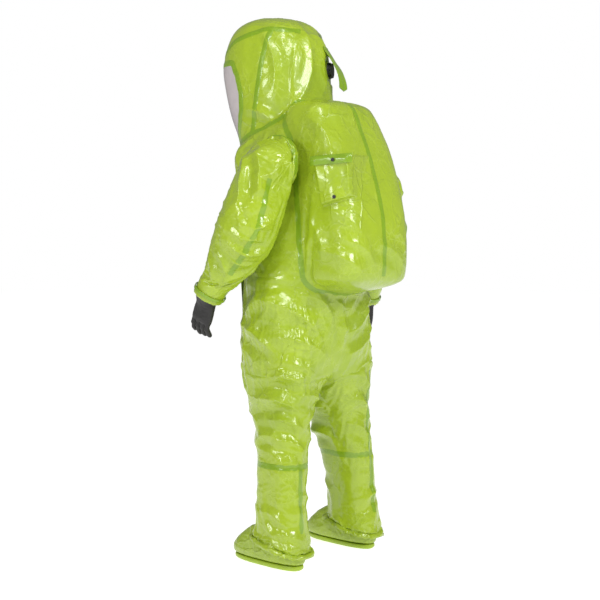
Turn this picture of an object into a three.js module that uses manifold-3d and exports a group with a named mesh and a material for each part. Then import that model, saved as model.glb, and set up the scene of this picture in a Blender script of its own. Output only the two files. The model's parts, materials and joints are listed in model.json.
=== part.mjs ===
// Fully encapsulating chemical protective suit, in the shape it has when it is worn by a standing person.
// Millimetres, +Z up. The wearer faces -Y and the wearer's left side is +X. The soles stand on z = 0.
// Garment panels are thin closed shells: each one is a loft through a few super-elliptic rings.
import * as THREE from "three";
import { mergeVertices } from "three/addons/utils/BufferGeometryUtils.js";
import Module from "manifold-3d";

const wasm = await Module();
wasm.setup();

// ---- driving dimensions -------------------------------------------------------------------------
const WALL = 2.5; // garment laminate with its slack, as one wall
const GAP = 0.3; // between pieces that touch
const RUN = 1.0; // between a turning piece and what it turns in

const CROTCH_Z = 700; // height of the seam between trouser legs and body
const NECK_Z = 1500; // centre of the seam between body and hood
const NECK_TILT = 19; // degrees, lower at the front
const NECK_WIDTH = 316;
const NECK_DEPTH = 300;
const HIP_WIDTH = 520;
const WAIST_WIDTH = 454;
const CHEST_WIDTH = 464;
const HOOD_WIDTH = 332;
const HOOD_TOP_Z = 1935;

const ARMHOLE_X = 218; // plane of the seam between body and sleeve
const SHOULDER = [20, 1392]; // y and z of the armhole's centre
const ARMHOLE_Y = 95;
const ARMHOLE_Z = 95;
const RIGHT_ARM_BACK = 13; // degrees that the right arm hangs further back
const ELBOW = [330, -22, 1178];
const ELBOW_GUSSET = 92; // length of the soft elbow
const ELBOW_PIVOT_FORWARD = 60;
const ELBOW_RADIUS = 112;
const WRIST = [362, -176, 938];
const CUFF_RADIUS = 54;
const CUFF_LENGTH = 46;

const CUFF_RING_LENGTH = 30;
const CUFF_RING_WALL = 4;
const CLAMP_WIDTH = 12;
const CLAMP_THICK = 2.2;
const GLOVE_WALL = 2.2;
const LINER_WALL = 1.4;
const PALM_LENGTH = 92;
const FINGER_RADIUS = 10.5;
const FINGER_LENGTH = 58;

const STANCE_X = 195; // half the distance between the ankles
const LEG_SEAM_Z = 356; // seam between trouser leg and splash cuff
const SOLE_THICK = 18;
const SHOE_LENGTH = 326;
const SHOE_WIDTH = 104;

const HUMP_WIDTH = 356; // bulge that holds the breathing set
const HUMP_REAR_Y = 312;
const HUMP_LOW_Z = 986;
const HUMP_TOP_Z = 1606;

const VISOR_TOP_Z = 1772;
const VISOR_LOW_Z = 1478;
const VISOR_EDGE_Y = -262; // rear edge of the lens, level with its top and bottom
const VISOR_BULGE = 48; // how far the rear edge runs back at mid height
const VISOR_LAP = 12; // lens over the hood's window edge
const LENS_THICK = 2.5;
const FRAME_WIDTH = 20;
const FRAME_THICK = 3.5;

const ZIP_X = 118;
const ZIP_LOW_Z = 760;
const ZIP_TOP_Z = 1330;
const ZIP_SLOT = 10;
const TAPE_WIDTH = 22;
const TAPE_THICK = 1.4;
const CHAIN_WIDTH = 9;
const CHAIN_THICK = 3;
const SLIDER = [13, 5, 24];
const PULL = [9, 1.8, 38];
const FLAP_WIDTH = 92;
const FLAP_THICK = 2.4;
const FLAP_RISE = 21.6;
const STRIP_THICK = 1.6; // hook-and-loop strip that the free edge closes on

const VALVE_RADIUS = 30;
const VALVE_BORE = 16;
const VALVE_NECK = 20;
const HOOD_VALVE_Z = 1742;
const HOOD_VALVE_TURN = 27; // degrees from straight back, towards the wearer's right
const HUMP_VALVE = [-6, 227, 1340]; // in from the bulge's left side, y and z, near its rear corner
const HUMP_VALVE_TURN = 20; // degrees from the wearer's left towards the back
const POCKET = [146, 166]; // width and height of the cover over the bulge's valve
const POCKET_RISE = 20;
const POCKET_FLAP = 34;
const POCKET_DEPTH = 80; // how far its sides may reach back to the rounded corner

const WAIST_SEAM_Z = 1004; // joins the chest and the hips
const CHEST_LOW_Z = 1190; // above it the body is cut to the armhole planes
const BELT_Z = 1040;
const BELT_HEIGHT = 34;
const BELT_THICK = 2.5;
const BELT_SLACK = 0.7; // between the belt and the wall it lies against

// ---- finishes -----------------------------------------------------------------------------------
const FINISH = {
  laminate: new THREE.MeshStandardMaterial({ color: 0xaacb38, roughness: 0.3 }),
  trim: new THREE.MeshStandardMaterial({ color: 0x8cb618, roughness: 0.4 }),
  glove: new THREE.MeshStandardMaterial({ color: 0x231f1e, roughness: 0.7 }),
  liner: new THREE.MeshStandardMaterial({ color: 0xd9dbd4, roughness: 0.8 }),
  plastic: new THREE.MeshStandardMaterial({ color: 0x1c1c1d, roughness: 0.45 }),
  sole: new THREE.MeshStandardMaterial({ color: 0xb9c46a, roughness: 0.6 }),
  lens: new THREE.MeshStandardMaterial({ color: 0xc8bebe, roughness: 0.1 }),
  steel: new THREE.MeshStandardMaterial({ color: 0xb8babb, roughness: 0.3, metalness: 1 }),
  webbing: new THREE.MeshStandardMaterial({ color: 0x33373a, roughness: 0.8 }),
};

const SIDES = 24; // corners of a garment ring
const ROUND = 20; // corners of a small round piece
const PALM_SIDES = 16;
const FINGER_SIDES = 8;
const CUFF_SIDES = 24; // corners of the cuff's round pieces

const suit = new THREE.Group();

// ---- solids -------------------------------------------------------------------------------------
// A closed three.js geometry as a manifold solid with its faces pointing out.
function solid(geometry) {
  const bare = new THREE.BufferGeometry();
  const loose = geometry.index ? geometry.toNonIndexed() : geometry;
  bare.setAttribute("position", loose.getAttribute("position"));
  const merged = mergeVertices(bare, 1e-3);
  const faces = [];
  const index = merged.index.array;
  for (let i = 0; i < index.length; i += 3) {
    const [a, b, c] = [index[i], index[i + 1], index[i + 2]];
    if (a !== b && b !== c && a !== c) faces.push(a, b, c);
  }
  const vertProperties = new Float32Array(merged.attributes.position.array);
  const build = (list) =>
    new wasm.Manifold(
      new wasm.Mesh({ numProp: 3, vertProperties, triVerts: new Uint32Array(list) }),
    );
  const made = build(faces);
  if (made.volume() > 0) return made;
  for (let i = 0; i < faces.length; i += 3)
    [faces[i + 1], faces[i + 2]] = [faces[i + 2], faces[i + 1]];
  return build(faces);
}

// The largest body of a cut solid, without the slivers that a cut leaves.
function largest(cut) {
  return cut.decompose().sort((a, b) => b.volume() - a.volume())[0];
}

// A solid as a named mesh of the suit.
function add(name, part, finish) {
  const { vertProperties, triVerts, numProp, numVert } = part.getMesh();
  const position = new Float32Array(numVert * 3);
  for (let i = 0; i < numVert; i++)
    position.set(vertProperties.subarray(i * numProp, i * numProp + 3), i * 3);
  const geometry = new THREE.BufferGeometry()
    .setAttribute("position", new THREE.BufferAttribute(position, 3))
    .setIndex(new THREE.BufferAttribute(triVerts, 1));
  const mesh = new THREE.Mesh(geometry, FINISH[finish]);
  mesh.name = name;
  suit.add(mesh);
  return part;
}

function box(x, y, z, at, matrix) {
  const geometry = new THREE.BoxGeometry(x, y, z).translate(...at);
  return solid(matrix ? geometry.applyMatrix4(matrix) : geometry);
}

// ---- lofts --------------------------------------------------------------------------------------
const vec = (x, y, z) => new THREE.Vector3(x, y, z);

// A ring that lies level, or tilted about X by so many degrees: positive lifts its back.
function bodyRing(front, back, z, halfWidth, { x = 0, tilt = 0, power = 2.4 } = {}) {
  const t = THREE.MathUtils.degToRad(tilt);
  return {
    centre: vec(x, (front + back) / 2, z),
    u: vec(1, 0, 0),
    v: vec(0, Math.cos(t), Math.sin(t)),
    a: halfWidth,
    b: (back - front) / 2,
    power,
  };
}

// A ring across a limb: its first half-size is near Y, its second points away from the body.
function limbRing(centre, along, a, b, power = 2.1) {
  const n = vec(...along).normalize();
  const u = vec(0, 1, 0).addScaledVector(n, -n.y).normalize();
  return { centre: vec(...centre), u, v: n.clone().cross(u), a, b, power };
}

// The same ring made smaller by so many millimetres, and moved along its own axis.
function inset(ring, by, shift = 0) {
  const n = ring.u.clone().cross(ring.v);
  const centre = ring.centre.clone().addScaledVector(n, shift);
  return { ...ring, centre, a: ring.a - by, b: ring.b - by };
}

function onRing(ring, angle) {
  const bend = (value) => Math.sign(value) * Math.abs(value) ** (2 / ring.power);
  return ring.centre
    .clone()
    .addScaledVector(ring.u, ring.a * bend(Math.cos(angle)))
    .addScaledVector(ring.v, ring.b * bend(Math.sin(angle)));
}

// A lathe of steps is bent onto the rings: its radius tells outside (2), inside (1) and axis (0),
// and its height tells which ring. Half steps past the ends are the centres of end walls.
function bendLathe(profile, outer, inner, sides) {
  const points = profile.map(([radius, level]) => new THREE.Vector2(radius, level));
  const lathe = new THREE.LatheGeometry(points, sides);
  lathe.deleteAttribute("normal");
  lathe.deleteAttribute("uv");
  const position = lathe.getAttribute("position");
  const last = outer.length - 1;
  for (let i = 0; i < position.count; i++) {
    const [x, y, z] = [position.getX(i), position.getY(i), position.getZ(i)];
    const radius = Math.round(Math.hypot(x, z));
    const level = Math.min(Math.max(Math.round(y), 0), last);
    let place;
    if (radius === 0) {
      const deep = Math.abs(y - Math.round(y)) > 0.1;
      const near = y < 0 ? 0 : last;
      place = (deep ? inner : outer)[near].centre.clone();
    } else {
      const turn = Math.round((Math.atan2(x, z) / (2 * Math.PI)) * sides);
      place = onRing((radius === 2 ? outer : inner)[level], (turn / sides) * 2 * Math.PI);
    }
    position.setXYZ(i, place.x, place.y, place.z);
  }
  return solid(lathe);
}

// A solid through the rings, with flat ends.
function loft(rings, sides = SIDES) {
  const side = rings.map((_, level) => [2, level]);
  return bendLathe([[0, -1], ...side, [0, rings.length]], rings, rings, sides);
}

// A wall round the rings. An end that is closed gets a wall of the same thickness.
function shell(rings, wall, { closedStart = false, closedEnd = false, sides = SIDES } = {}) {
  const last = rings.length - 1;
  const inner = rings.map((ring, level) => {
    if (closedStart && level === 0) return inset(ring, wall, wall);
    if (closedEnd && level === last) return inset(ring, wall, -wall);
    return inset(ring, wall);
  });
  const out = rings.map((_, level) => [2, level]);
  const back = rings.map((_, level) => [1, level]).reverse();
  if (closedEnd) out.push([0, last + 1], [0, last + 0.5]);
  if (closedStart) return bendLathe([[0, -1], ...out, ...back, [0, -0.5], [0, -1]], rings, inner, sides);
  return bendLathe([...out, ...back, [2, 0]], rings, inner, sides);
}

// A round piece turned from [radius, height] points, placed by a matrix that maps +Z to its axis.
function turned(points, matrix, sides = ROUND) {
  const profile = points.map(([radius, height]) => new THREE.Vector2(radius, height));
  const lathe = new THREE.LatheGeometry(profile, sides).rotateX(Math.PI / 2);
  return solid(lathe.applyMatrix4(matrix));
}

function tube(inner, outer, from, to, matrix, sides = CUFF_SIDES) {
  const section = [[inner, from], [outer, from], [outer, to], [inner, to], [inner, from]];
  return turned(section, matrix, sides);
}

function disc(radius, from, to, matrix, sides = ROUND) {
  return turned([[0, from], [radius, from], [radius, to], [0, to]], matrix, sides);
}

// A frame at a point with +Z along a direction and +X as near as may be to a hint.
function frameAt(point, along, hint) {
  const z = vec(...along).normalize();
  const x = vec(...hint).addScaledVector(z, -z.dot(vec(...hint))).normalize();
  const y = z.clone().cross(x);
  return new THREE.Matrix4().makeBasis(x, y, z).setPosition(...point);
}

// ---- body panels --------------------------------------------------------------------------------
const torsoRings = [
  bodyRing(-205, 132, CROTCH_Z, HIP_WIDTH / 2 - 2, { power: 3.2 }),
  bodyRing(-214, 142, 800, HIP_WIDTH / 2, { power: 2.7 }),
  bodyRing(-222, 143, 920, HIP_WIDTH / 2 - 4),
  bodyRing(-232, 128, BELT_Z, WAIST_WIDTH / 2),
  bodyRing(-243, 108, 1180, ARMHOLE_X - 1, { power: 2.6 }),
  bodyRing(-256, 96, 1290, CHEST_WIDTH / 2, { power: 3.1 }),
  bodyRing(-264, 84, 1380, CHEST_WIDTH / 2, { power: 3.2, tilt: 6 }),
  bodyRing(-268, 66, 1440, CHEST_WIDTH / 2 - 3, { power: 3.2, tilt: 11 }),
  bodyRing(-282, 34, 1480, CHEST_WIDTH / 2 - 32, { power: 2.8, tilt: 16 }),
  bodyRing(-146 - NECK_DEPTH / 2, -146 + NECK_DEPTH / 2, NECK_Z, NECK_WIDTH / 2, { tilt: NECK_TILT }),
];
const hoodRings = [
  inset(torsoRings.at(-1), 0, GAP),
  bodyRing(-312, 0, 1540, HOOD_WIDTH / 2 - 4, { tilt: 14 }),
  bodyRing(-342, 4, 1600, HOOD_WIDTH / 2, { tilt: 7, power: 2.5 }),
  bodyRing(-368, 3, 1680, HOOD_WIDTH / 2, { tilt: 3, power: 2.6 }),
  bodyRing(-386, 0, 1760, HOOD_WIDTH / 2 - 2, { power: 2.6 }),
  bodyRing(-374, -12, 1835, HOOD_WIDTH / 2 - 10),
  bodyRing(-346, -36, 1888, HOOD_WIDTH / 2 - 30),
  bodyRing(-305, -78, HOOD_TOP_Z - 17, HOOD_WIDTH / 2 - 62, { power: 2.3 }),
  bodyRing(-250, -130, HOOD_TOP_Z, HOOD_WIDTH / 2 - 112, { power: 2.1 }),
];
const HUMP_POWER = 4.2;
const humpHalf = HUMP_WIDTH / 2;
const humpRings = [
  bodyRing(70, HUMP_REAR_Y - 26, HUMP_LOW_Z, humpHalf - 22, { power: HUMP_POWER }),
  bodyRing(50, HUMP_REAR_Y - 5, HUMP_LOW_Z + 18, humpHalf - 4, { power: HUMP_POWER }),
  bodyRing(40, HUMP_REAR_Y, 1110, humpHalf, { power: HUMP_POWER }),
  bodyRing(30, HUMP_REAR_Y - 10, 1217, humpHalf, { power: HUMP_POWER }),
  bodyRing(20, HUMP_REAR_Y - 38, 1327, humpHalf, { power: HUMP_POWER }),
  bodyRing(0, HUMP_REAR_Y - 76, 1440, humpHalf - 2, { power: HUMP_POWER }),
  bodyRing(-30, HUMP_REAR_Y - 118, 1530, humpHalf - 12, { power: 3.8 }),
  bodyRing(-30, HUMP_REAR_Y - 152, 1586, humpHalf - 34, { power: 3.4 }),
  bodyRing(-24, HUMP_REAR_Y - 190, HUMP_TOP_Z, humpHalf - 70, { power: 2.8 }),
];
const grown = (rings, by) => loft(rings.map((ring) => inset(ring, -by)));

// Side view of the lens as a block through the hood: straight top and bottom, a bowed rear edge.
function visorBlock(margin) {
  const top = VISOR_TOP_Z + margin;
  const low = VISOR_LOW_Z - margin;
  const edge = VISOR_EDGE_Y + margin;
  const outline = new THREE.Shape();
  outline.moveTo(-600, top);
  outline.lineTo(edge, top);
  outline.quadraticCurveTo(edge + 2 * VISOR_BULGE, (top + low) / 2, edge, low);
  outline.lineTo(-600, low);
  outline.closePath();
  const block = new THREE.ExtrudeGeometry(outline, { depth: 600, bevelEnabled: false, curveSegments: 10 });
  const standing = new THREE.Matrix4().makeBasis(vec(0, 1, 0), vec(0, 0, 1), vec(1, 0, 0));
  return solid(block.applyMatrix4(standing.setPosition(-300, 0, 0)));
}

// The front entry lies on a straight line down the left of the front; its frame has +Z up that line,
// +X towards the wearer's left and +Y into the body.
const frontAt = (z) => {
  const ring = [...torsoRings].reverse().find((r) => r.centre.z <= z);
  const next = torsoRings[torsoRings.indexOf(ring) + 1];
  const share = (z - ring.centre.z) / (next.centre.z - ring.centre.z);
  const reach = (r) =>
    r.centre.y - r.b * (1 - (ZIP_X / r.a) ** r.power) ** (1 / r.power);
  return reach(ring) * (1 - share) + reach(next) * share;
};
const ZIP_LENGTH = ZIP_TOP_Z - ZIP_LOW_Z;
const zipMiddle = (ZIP_LOW_Z + ZIP_TOP_Z) / 2;
const zipLine = [0, frontAt(ZIP_TOP_Z) - frontAt(ZIP_LOW_Z), ZIP_LENGTH];
const zipPoint = [ZIP_X, (frontAt(ZIP_LOW_Z) + frontAt(ZIP_TOP_Z)) / 2, zipMiddle];
const ZIP_TURN = 0.3; // slope of the front where the entry lies
const zipFrame = frameAt(zipPoint, zipLine, [1, ZIP_TURN, 0]);
const zipSlot = box(ZIP_SLOT, 80, ZIP_LENGTH, [0, 0, 0], zipFrame);

// Each armhole and each sleeve end is one flat ring in a plane across X, so a sleeve can swing there.
const armholePlug = (side) =>
  loft([
    limbRing([side * 150, ...SHOULDER], [side, 0, 0], ARMHOLE_Y - 6, ARMHOLE_Z - 6),
    limbRing([side * 260, ...SHOULDER], [side, 0, 0], ARMHOLE_Y - 6, ARMHOLE_Z - 6),
  ]);
const torsoOuter = loft(torsoRings);
const torsoGrown = grown(torsoRings, GAP);
const hoodGrown = grown(hoodRings, GAP);
const chestSlab = box(2 * ARMHOLE_X, 900, 600, [0, 0, CHEST_LOW_Z + 300]);
const hipSlab = box(900, 900, 600, [0, 0, CHEST_LOW_Z + 1 - 300]);
const betweenArmholes = chestSlab.add(hipSlab);
const backWindow = box(HUMP_WIDTH - 90, 260, 360, [0, 130, 1240]);

const torsoWall = shell(torsoRings, WALL)
  .intersect(betweenArmholes)
  .subtract(armholePlug(1))
  .subtract(armholePlug(-1))
  .subtract(backWindow)
  .subtract(zipSlot);
const aboveWaist = box(900, 900, 1200, [0, 0, WAIST_SEAM_Z + GAP / 2 + 600]);
const belowWaist = box(900, 900, 1200, [0, 0, WAIST_SEAM_Z - GAP / 2 - 600]);
add("torso_shell", largest(torsoWall.intersect(aboveWaist)), "laminate");
add("hip_shell", largest(torsoWall.intersect(belowWaist)), "laminate");

// ---- exhaust valves -----------------------------------------------------------------------------
// Frame of the hood's valve: +Z points out of the hood. It sits where that direction leaves the wall.
const valveTurn = THREE.MathUtils.degToRad(HOOD_VALVE_TURN);
const valveOut = [-Math.sin(valveTurn), Math.cos(valveTurn), 0];
const valveRing = hoodRings[4];
const valveReach =
  1 /
  (Math.abs(valveOut[0] / valveRing.a) ** valveRing.power +
    Math.abs(valveOut[1] / valveRing.b) ** valveRing.power) **
    (1 / valveRing.power);
const hoodValvePoint = [
  valveOut[0] * valveReach,
  valveRing.centre.y + valveOut[1] * valveReach,
  HOOD_VALVE_Z,
];
const hoodValveFrame = frameAt(hoodValvePoint, valveOut, [-valveOut[1], valveOut[0], 0]);
const humpTurn = THREE.MathUtils.degToRad(HUMP_VALVE_TURN);
const humpOut = [Math.cos(humpTurn), Math.sin(humpTurn), 0];
const [humpIn, ...humpValveYZ] = HUMP_VALVE;
const humpValveFrame = frameAt([humpHalf + humpIn, ...humpValveYZ], humpOut, [-humpOut[1], humpOut[0], 0]);

// Heights along the valve's axis, counted from the wall it sits on.
const VALVE_IN = -16;
const VALVE_SEAT = -6;
const VALVE_FACE = 5;
const DISC_THICK = 2;
const CAP_HEIGHT = 8;

function valve(name, frame, wallGrown) {
  const flange = disc(VALVE_RADIUS, -10, VALVE_FACE, frame).subtract(wallGrown);
  const neck = disc(VALVE_NECK - GAP - RUN, VALVE_IN, VALVE_FACE, frame);
  const bore = disc(VALVE_BORE, VALVE_SEAT, VALVE_FACE + 1, frame);
  const throat = disc(VALVE_BORE - 5, VALVE_IN - 1, VALVE_SEAT + 1, frame);
  add(name + "_valve_body", largest(flange.add(neck).subtract(bore).subtract(throat)), "plastic");
  const low = VALVE_SEAT + GAP;
  add(name + "_valve_disc", disc(VALVE_BORE - RUN, low, low + DISC_THICK, frame), "liner");
  const capLow = VALVE_FACE + GAP;
  const cap = disc(VALVE_RADIUS - 3, capLow, capLow + CAP_HEIGHT, frame);
  const hollow = disc(VALVE_RADIUS - 7, capLow - 1, capLow + CAP_HEIGHT - 2.5, frame);
  const vents = [0, 1, 2, 3].map((k) => {
    const spin = new THREE.Matrix4().makeRotationZ((k * Math.PI) / 4);
    return box(80, 5, 4, [0, 0, capLow + 3.2], frame.clone().multiply(spin));
  });
  add(name + "_valve_cap", largest(vents.reduce((left, vent) => left.subtract(vent), cap.subtract(hollow))), "plastic");
}

// ---- hood and visor -----------------------------------------------------------------------------
const hoodWall = shell(hoodRings, WALL, { closedEnd: true })
  .subtract(visorBlock(-VISOR_LAP))
  .subtract(disc(VALVE_NECK, -60, 40, hoodValveFrame));
add("hood_shell", largest(hoodWall), "laminate");

const lensZone = grown(hoodRings, GAP + LENS_THICK).subtract(hoodGrown);
add("visor_lens", largest(lensZone.intersect(visorBlock(0))), "lens");
const frameZone = grown(hoodRings, GAP + FRAME_THICK).subtract(hoodGrown);
const frameBand = frameZone.intersect(visorBlock(FRAME_WIDTH)).subtract(visorBlock(GAP));
add("visor_frame", largest(frameBand), "trim");
valve("hood", hoodValveFrame, hoodGrown);

// Rain cover over the hood's valve: a bowed sheet that hangs from its upper edge.
const COVER_TOP = 70;
const COVER_DROP = 148;
const COVER_WIDTH = 104;
const COVER_ROOT = -14; // its upper edge lies on the hood, which falls away above the valve
const COVER_STAND = 60; // how far its free edge stands off the hood
function coverSheet() {
  const outline = new THREE.Shape();
  const start = COVER_ROOT;
  const lean = (s) => start + (COVER_STAND - start) * Math.sin((s * Math.PI) / 2);
  const steps = [0, 0.25, 0.5, 0.75, 1];
  steps.forEach((s, k) => outline[k ? "lineTo" : "moveTo"](-COVER_TOP + s * COVER_DROP, lean(s)));
  steps.reverse().forEach((s) => outline.lineTo(-COVER_TOP + s * COVER_DROP, lean(s) + 2));
  outline.closePath();
  const sheet = new THREE.ExtrudeGeometry(outline, { depth: COVER_WIDTH, bevelEnabled: false });
  // sketch X runs down the hood, sketch Y away from it, the depth runs across
  const turn = new THREE.Matrix4().makeBasis(vec(0, -1, 0), vec(0, 0, 1), vec(-1, 0, 0));
  turn.setPosition(COVER_WIDTH / 2, 0, 0);
  return solid(sheet.applyMatrix4(turn).applyMatrix4(hoodValveFrame));
}
const coverHem = box(COVER_WIDTH, 14, 60, [0, COVER_TOP + 7.5, -25 + 3], hoodValveFrame)
  .subtract(hoodGrown)
  .intersect(grown(hoodRings, 9));
add("hood_cover_hem", largest(coverHem), "trim");
add("hood_valve_cover", largest(coverSheet().subtract(hoodGrown)), "trim");

// ---- bulge for the breathing set ----------------------------------------------------------------
const humpWall = shell(humpRings, WALL, { closedStart: true, closedEnd: true })
  .subtract(torsoGrown)
  .subtract(hoodGrown)
  .subtract(disc(VALVE_NECK, -60, 40, humpValveFrame));
add("back_bulge_shell", largest(humpWall), "laminate");
const humpGrown = grown(humpRings, GAP);
valve("bulge", humpValveFrame, humpGrown);

// Box-shaped cover welded over the bulge's valve, open along its top under a small snap flap.
function pocket() {
  const [width, height] = POCKET;
  const deep = POCKET_RISE + POCKET_DEPTH;
  const middle = (POCKET_RISE - POCKET_DEPTH) / 2;
  const outside = box(width, height, deep, [0, -8, middle], humpValveFrame);
  const inside = box(width - 2 * WALL, height, deep, [0, -8 + WALL, middle - WALL], humpValveFrame);
  add("valve_pocket", largest(outside.subtract(inside).subtract(humpGrown)), "laminate");
  const top = height / 2 - 8 + 1.5;
  const lid = box(width + 6, 2, POCKET_RISE + 4, [0, top, POCKET_RISE / 2 + 4], humpValveFrame);
  const face = POCKET_RISE + GAP + 1;
  const apron = box(width + 6, POCKET_FLAP, 2, [0, top + 1 - POCKET_FLAP / 2, face + 1], humpValveFrame);
  const flap = lid.add(apron).subtract(grown(humpRings, 1.4));
  add("valve_pocket_flap", largest(flap), "trim");
  const stud = disc(6, face + 2 + GAP, face + 5, humpValveFrame.clone().multiply(
    new THREE.Matrix4().makeTranslation(10, top - POCKET_FLAP / 2, 0)), 20);
  add("pocket_snap", stud, "plastic");
}
pocket();

// ---- front entry --------------------------------------------------------------------------------
function entry() {
  const inZip = (x, y, z, at) => box(x, y, z, at, zipFrame);
  for (const [name, side] of [["left", 1], ["right", -1]]) {
    const mid = side * (CHAIN_WIDTH / 2 + GAP + TAPE_WIDTH / 2);
    const strip = inZip(TAPE_WIDTH, 60, ZIP_LENGTH + 30, [mid, 0, 0]);
    const skin = grown(torsoRings, GAP + TAPE_THICK).subtract(torsoGrown);
    const front = box(600, 300, 1400, [0, -250, 1000]);
    add(name + "_zip_tape", largest(strip.intersect(skin).intersect(front)), "webbing");
  }
  const chain = inZip(CHAIN_WIDTH, 2 * CHAIN_THICK, ZIP_LENGTH - 10, [0, -CHAIN_THICK / 2, 0]);
  add("zip_chain", largest(chain.subtract(torsoGrown)), "steel");
  const over = -(1.5 * CHAIN_THICK + GAP);
  const sliderZ = ZIP_LENGTH / 2 - 34;
  add("zip_slider", inZip(...SLIDER, [0, over - SLIDER[1] / 2, sliderZ]), "steel");
  const pullY = over - SLIDER[1] - GAP - PULL[1] / 2;
  add("zip_pull", inZip(...PULL, [0, pullY, sliderZ - PULL[2] / 2 + 6]), "steel");
  for (const [name, end] of [["upper", 1], ["lower", -1]]) {
    const at = end * (ZIP_LENGTH / 2 + 4);
    const stop = inZip(CHAIN_WIDTH + 6, 14, 6, [0, -4, at]);
    add(name + "_zip_stop", largest(stop.subtract(grown(torsoRings, GAP + TAPE_THICK + GAP))), "steel");
  }
}
entry();

// Storm flap: a bowed strip over the zip, hinged along its edge near the body's middle.
function stormFlap() {
  const half = FLAP_WIDTH / 2;
  const bow = (x) => 2.7 + FLAP_RISE * Math.cos((x / half) * 1.25) ** 2;
  const xs = [-1, -0.75, -0.5, -0.25, 0, 0.25, 0.5, 0.75, 1].map((s) => s * half);
  const outline = new THREE.Shape();
  xs.forEach((x, k) => outline[k ? "lineTo" : "moveTo"](x, -bow(x)));
  [...xs].reverse().forEach((x) => outline.lineTo(x, -bow(x) - FLAP_THICK));
  outline.closePath();
  const strip = new THREE.ExtrudeGeometry(outline, { depth: ZIP_LENGTH + 60, bevelEnabled: false });
  strip.translate(0, 0, -ZIP_LENGTH / 2 - 30).applyMatrix4(zipFrame);
  add("storm_flap", largest(solid(strip).subtract(grown(torsoRings, STRIP_THICK + 2 * GAP))), "trim");
  const strips = [["storm_flap_seam", -half + 5, 10, GAP, 2], ["loop_strip", half - 10, 16, GAP, STRIP_THICK]];
  for (const [name, at, width, from, thick] of strips) {
    const bar = box(width, 80, ZIP_LENGTH + 40, [at, 0, 0], zipFrame);
    const skin = grown(torsoRings, from + thick).subtract(grown(torsoRings, from));
    const front = box(600, 300, 1400, [0, -250, 1000]);
    add(name, largest(bar.intersect(skin).intersect(front)), name === "loop_strip" ? "webbing" : "trim");
  }
}
stormFlap();

// ---- legs, splash cuffs and sock boots ----------------------------------------------------------
const splitCuff = 1.2; // half the gap between the two trouser legs at the crotch seam
function leg(name, side) {
  const at = (x, tilt = 0, power = 2.4) => ({ x: side * x, tilt, power });
  const hipHalf = (HIP_WIDTH / 2 - 2 - 2 * splitCuff) / 2;
  const legRings = [
    bodyRing(-68, 106, LEG_SEAM_Z, 84, at(STANCE_X - 18)),
    bodyRing(-76, 104, 400, 86, at(STANCE_X - 25)),
    bodyRing(-92, 98, 460, 92, at(STANCE_X - 35)),
    bodyRing(-120, 96, 540, 98, at(STANCE_X - 48)),
    bodyRing(-160, 104, 600, 110, at(STANCE_X - 58)),
    bodyRing(-186, 118, 645, 123, at(STANCE_X - 66, 0, 2.7)),
    bodyRing(-205, 132, CROTCH_Z - GAP, hipHalf, at(hipHalf + 2 * splitCuff, 0, 3)),
  ];
  add(name + "_trouser_leg", shell(legRings, WALL), "laminate");
  const cuffRings = [
    bodyRing(-112, 136, 70, 90, at(STANCE_X, -14)),
    bodyRing(-84, 128, 130, 86, at(STANCE_X, -8)),
    bodyRing(-66, 116, 210, 81, at(STANCE_X - 4)),
    bodyRing(-64, 110, 290, 81, at(STANCE_X - 10)),
    bodyRing(-68, 106, LEG_SEAM_Z - GAP, 84, at(STANCE_X - 18)),
  ];
  const heel = 116;
  const toe = heel - SHOE_LENGTH;
  const half = SHOE_WIDTH / 2;
  const bootRings = [
    bodyRing(toe + 6, heel - 6, SOLE_THICK + GAP, half - 5, at(STANCE_X, 0, 2.7)),
    bodyRing(toe, heel, 42, half, at(STANCE_X, 0, 2.6)),
    bodyRing(toe + 12, heel, 68, half - 1, at(STANCE_X, 0, 2.5)),
    bodyRing(toe + 62, heel - 4, 94, half - 5, at(STANCE_X, -4)),
    bodyRing(toe + 122, heel - 12, 122, half - 6, at(STANCE_X, -8)),
    bodyRing(-58, heel - 20, 165, half - 4, at(STANCE_X, -4)),
    bodyRing(-50, heel - 24, 240, half, at(STANCE_X - 6)),
    bodyRing(-54, heel - 22, LEG_SEAM_Z - 16, half + 6, at(STANCE_X - 14)),
  ];
  const boot = shell(bootRings, WALL, { closedStart: true });
  add(name + "_sock_boot", boot, "laminate");
  const cuff = shell(cuffRings, WALL).subtract(grown(bootRings, 2 * GAP));
  add(name + "_splash_cuff", largest(cuff), "laminate");
  const soleRings = [
    bodyRing(toe + 14, heel - 10, 0, half - 8, at(STANCE_X, 0, 2.7)),
    bodyRing(toe + 4, heel - 4, 6, half - 2, at(STANCE_X, 0, 2.7)),
    bodyRing(toe + 4, heel - 4, SOLE_THICK, half - 2, at(STANCE_X, 0, 2.7)),
  ];
  add(name + "_boot_sole", loft(soleRings), "sole");
}
leg("left", 1);
leg("right", -1);

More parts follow.
